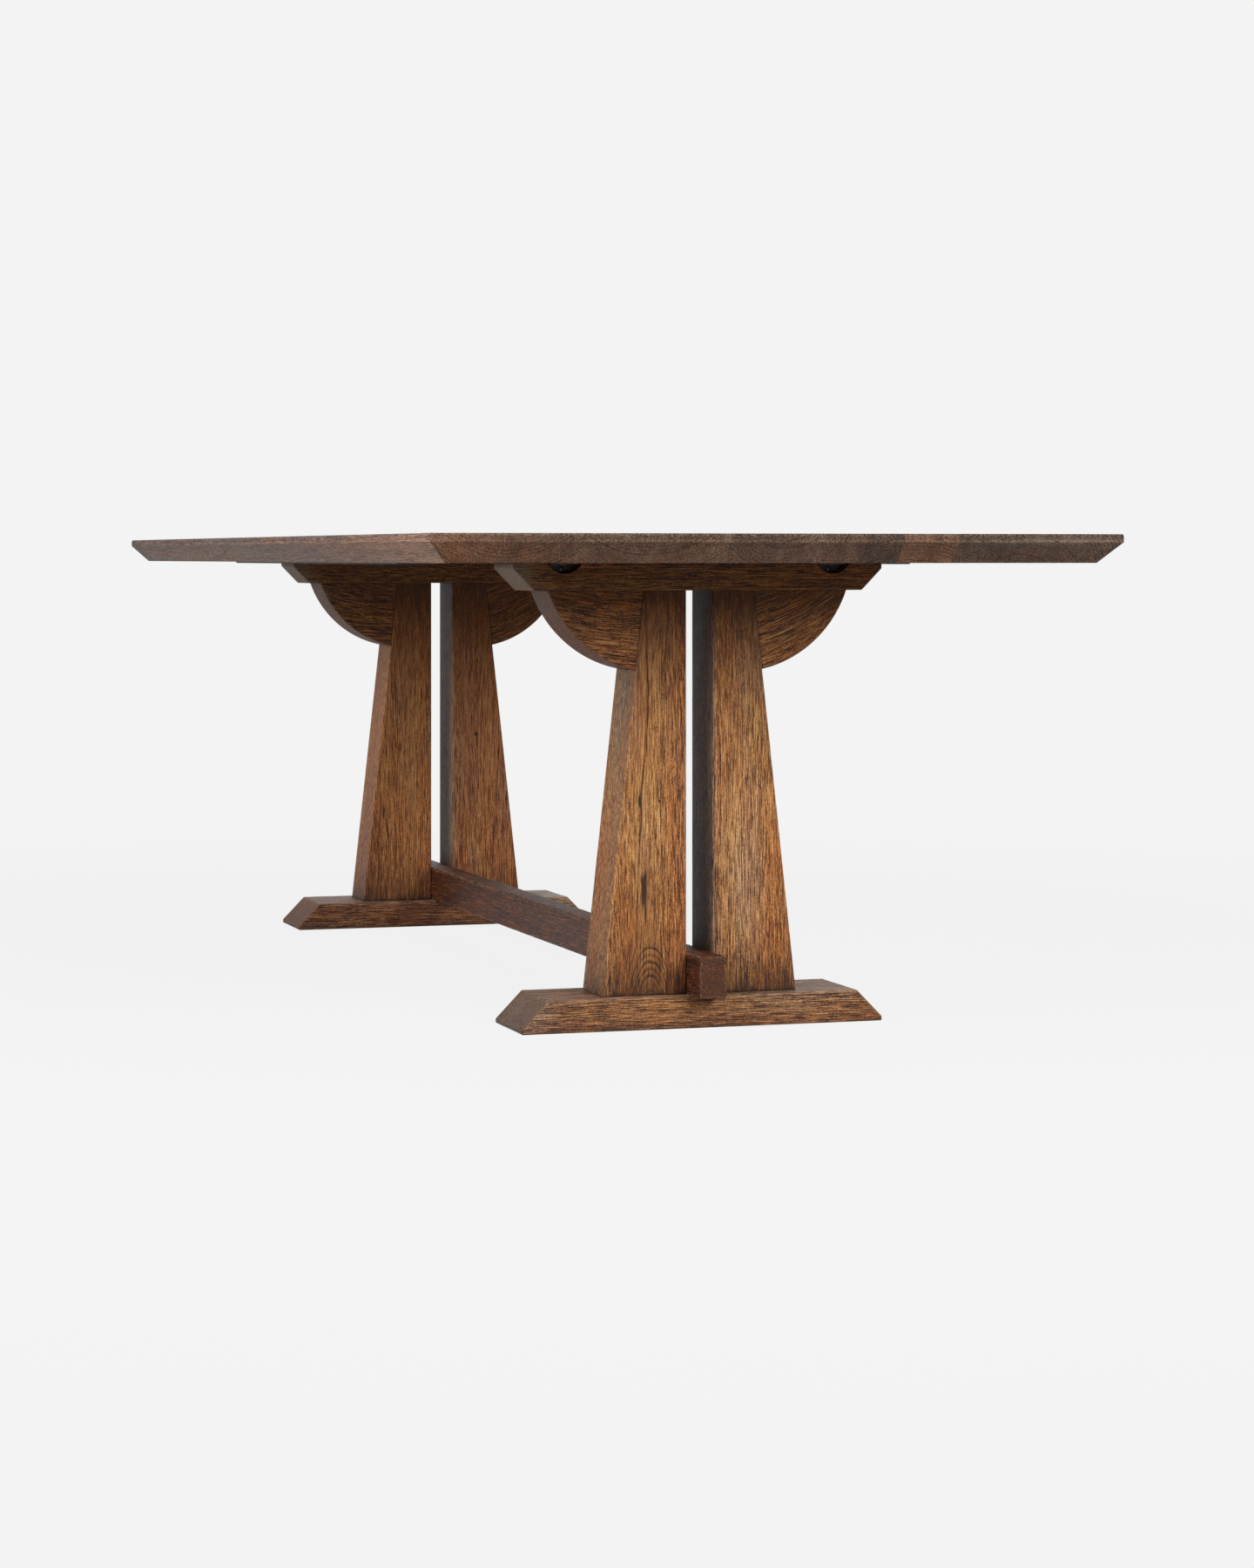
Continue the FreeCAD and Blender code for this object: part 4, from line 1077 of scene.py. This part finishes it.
# Checks and knots: the piece, the spot, and its reach along the grain, across it and inwards
MARKS = (
    ("post_near_left", (NEAR_FRONT, -0.0907, 0.212), (0.036, 0.0056, 0.012)),
    ("post_near_left", (NEAR_FRONT, -0.0885, 0.178), (0.020, 0.0022, 0.008)),
    ("post_near_left", (NEAR_FRONT, -0.0987, 0.350), (0.012, 0.0022, 0.006)),
    ("post_near_left", (NEAR_FRONT, -0.0653, 0.350), (0.0026, 0.0024, 0.004)),
    ("post_far_right", (FAR_FRONT, 0.0700, 0.376), (0.004, 0.0035, 0.006)),
)
marks = []
for node, spot, reach in MARKS:
    marks.append((woods[node].fibre(np.array([spot]))[0], reach))

materials = {
    "top_oak": oak("top_oak", TOP_STOPS, TOP_SHARES, []),
    "frame_oak": oak("frame_oak", FRAME_STOPS, FRAME_SHARES, marks),
    "tenon_beech": beech("tenon_beech"),
    "dark_steel": metal("dark_steel", (40, 34, 36), (54, 46, 48), 0.55, 0.0),
    "plated_steel": metal("plated_steel", (96, 92, 92), (64, 60, 62), 0.42, 0.8),
    "insert_brass": metal("insert_brass", (190, 150, 84), (148, 112, 60), 0.35, 1.0),
}
# The brackets' paint is browner than the other dark steel
bracket_steel = metal("bracket_steel", (58, 44, 38), (84, 66, 58), 0.60, 0.0)

for wood in woods.values():
    slot = "top_oak" if wood.node.startswith("top") else "frame_oak"
    dress(wood, materials[slot])

# Brackets, bolts and rails get rounded edges, and screws cross-recessed heads. The slip tenons and
# inserts, which are hidden in the wood, keep their CAD shapes.
for place in ("near", "far"):
    soften("brackets_" + place, bracket_steel, METAL_ARRIS)
    soften("bolt_" + place, materials["dark_steel"], METAL_ARRIS)
    cut_screws("bracket_screws_" + place, materials["plated_steel"])
    for words, slot in (("slip_tenons_", "tenon_beech"), ("insert_", "insert_brass")):
        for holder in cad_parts[words + place].material_slots:
            holder.material = materials[slot]
for hand in ("left", "right"):
    soften("rail_" + hand, materials["dark_steel"], METAL_ARRIS)
    cut_screws("rail_screws_" + hand, materials["plated_steel"])

# Floor and world. The camera and reflections see the backdrop's colour. To other light the floor is dark
# and the world dim, by these shares of white.
BACKDROP = (243, 243, 243)
FLOOR_BOUNCE = 0.10
AMBIENT = 0.12
FLOOR_SIZE = 60.0
FLOOR_GAP = 0.0002
# The floor shows a share of the true shadow near the table, which fades out between two distances
SHADOW_SHARE = 0.05
SHADOW_END = (1.6, 3.4)


def seen_rays(n):
    """1 for light paths that show the backdrop, and 0 for the rest."""
    paths = n.add("ShaderNodeLightPath").outputs
    direct = n.math("MAXIMUM", paths["Is Camera Ray"], paths["Is Glossy Ray"])
    return n.math("MAXIMUM", direct, paths["Is Transmission Ray"])


def floor_finish():
    """A pale floor that keeps a faint shadow of the table."""
    material = bpy.data.materials.new("floor")
    n = Nodes(material)
    glow = n.add("ShaderNodeEmission", {"Color": screen(*BACKDROP), "Strength": 1.0}).outputs[0]
    matt = n.add("ShaderNodeBsdfDiffuse", {"Color": screen(*BACKDROP)}).outputs[0]
    dark = (FLOOR_BOUNCE, FLOOR_BOUNCE, FLOOR_BOUNCE, 1.0)
    bounce = n.add("ShaderNodeBsdfDiffuse", {"Color": dark}).outputs[0]
    shadow = n.fit(n.length(n.object_place()), *SHADOW_END, SHADOW_SHARE, 0.0)
    shown = n.add("ShaderNodeMixShader", {0: shadow, 1: glow, 2: matt}).outputs[0]
    n.finish(n.add("ShaderNodeMixShader", {0: seen_rays(n), 1: bounce, 2: shown}).outputs[0])
    return material


floor_mesh = bmesh.new()
bmesh.ops.create_grid(floor_mesh, x_segments=1, y_segments=1, size=FLOOR_SIZE)
floor_data = bpy.data.meshes.new("floor")
floor_mesh.to_mesh(floor_data)
floor_mesh.free()
floor_data.materials.append(floor_finish())
floor = bpy.data.objects.new("floor", floor_data)
scene.collection.objects.link(floor)
# Just under the feet, so that the two surfaces don't share a plane
floor.location.z = -FLOOR_GAP

world = bpy.data.worlds.new("world")
scene.world = world
n = Nodes(world)
sky = n.add("ShaderNodeBackground", {"Color": screen(*BACKDROP), "Strength": 1.0}).outputs[0]
soft = n.add("ShaderNodeBackground", {"Color": (1.0, 1.0, 1.0, 1.0), "Strength": AMBIENT}).outputs[0]
both = n.add("ShaderNodeMixShader", {0: seen_rays(n), 1: soft, 2: sky}).outputs[0]
n.add("ShaderNodeOutputWorld", {"Surface": both})

# Softboxes: name, the spot that each is aimed at, its turn from the X axis and rise above level in
# degrees, its width, its level, where 1 is plain light, and its tint
LAMP_DISTANCE = 5.0
LAMP_HEIGHT = 3.0
LAMPS = (
    ("key", (0.8, 0.0, 0.3), 22, 29, 2.6, 1.06, (1.0, 0.985, 0.95)),
    ("side", (0.2, -0.1, 0.3), -66, 28, 3.6, 0.80, (0.94, 1.0, 1.09)),
    ("back", (-0.2, 0.0, 0.3), 155, 30, 3.6, 0.20, (1.0, 1.0, 1.0)),
)
for name, aim, turn, rise, width, level, tint in LAMPS:
    turn, rise = math.radians(turn), math.radians(rise)
    way = Vector((math.cos(rise) * math.cos(turn), math.cos(rise) * math.sin(turn), math.sin(rise)))
    lamp = bpy.data.lights.new(name, "AREA")
    lamp.shape = "RECTANGLE"
    lamp.size = width
    lamp.size_y = LAMP_HEIGHT
    lamp.energy = level * math.pi ** 2 * LAMP_DISTANCE ** 2
    lamp.color = tint
    holder = bpy.data.objects.new(name, lamp)
    holder.location = Vector(aim) + way * LAMP_DISTANCE
    holder.rotation_euler = way.to_track_quat("Z", "Y").to_euler()
    scene.collection.objects.link(holder)

# Camera at the photograph's viewing angle: level, with the frame shifted as the photograph's is
CAMERA_PLACE = (5.941, -1.773, 0.7293)
CAMERA_TURN = (math.radians(90.0), 0.0, math.radians(73.14))
CAMERA_LENS = 99.95
CAMERA_SENSOR = 36.0
CAMERA_SHIFT = (0.0519, -0.1817)
CAMERA_REACH = 200.0
camera_data = bpy.data.cameras.new("camera")
camera_data.sensor_fit = "HORIZONTAL"
camera_data.sensor_width = CAMERA_SENSOR
camera_data.lens = CAMERA_LENS
camera_data.shift_x, camera_data.shift_y = CAMERA_SHIFT
camera_data.clip_end = CAMERA_REACH
camera = bpy.data.objects.new("camera", camera_data)
camera.location = CAMERA_PLACE
camera.rotation_euler = CAMERA_TURN
scene.collection.objects.link(camera)
scene.camera = camera
scene.view_settings.view_transform = "Standard"
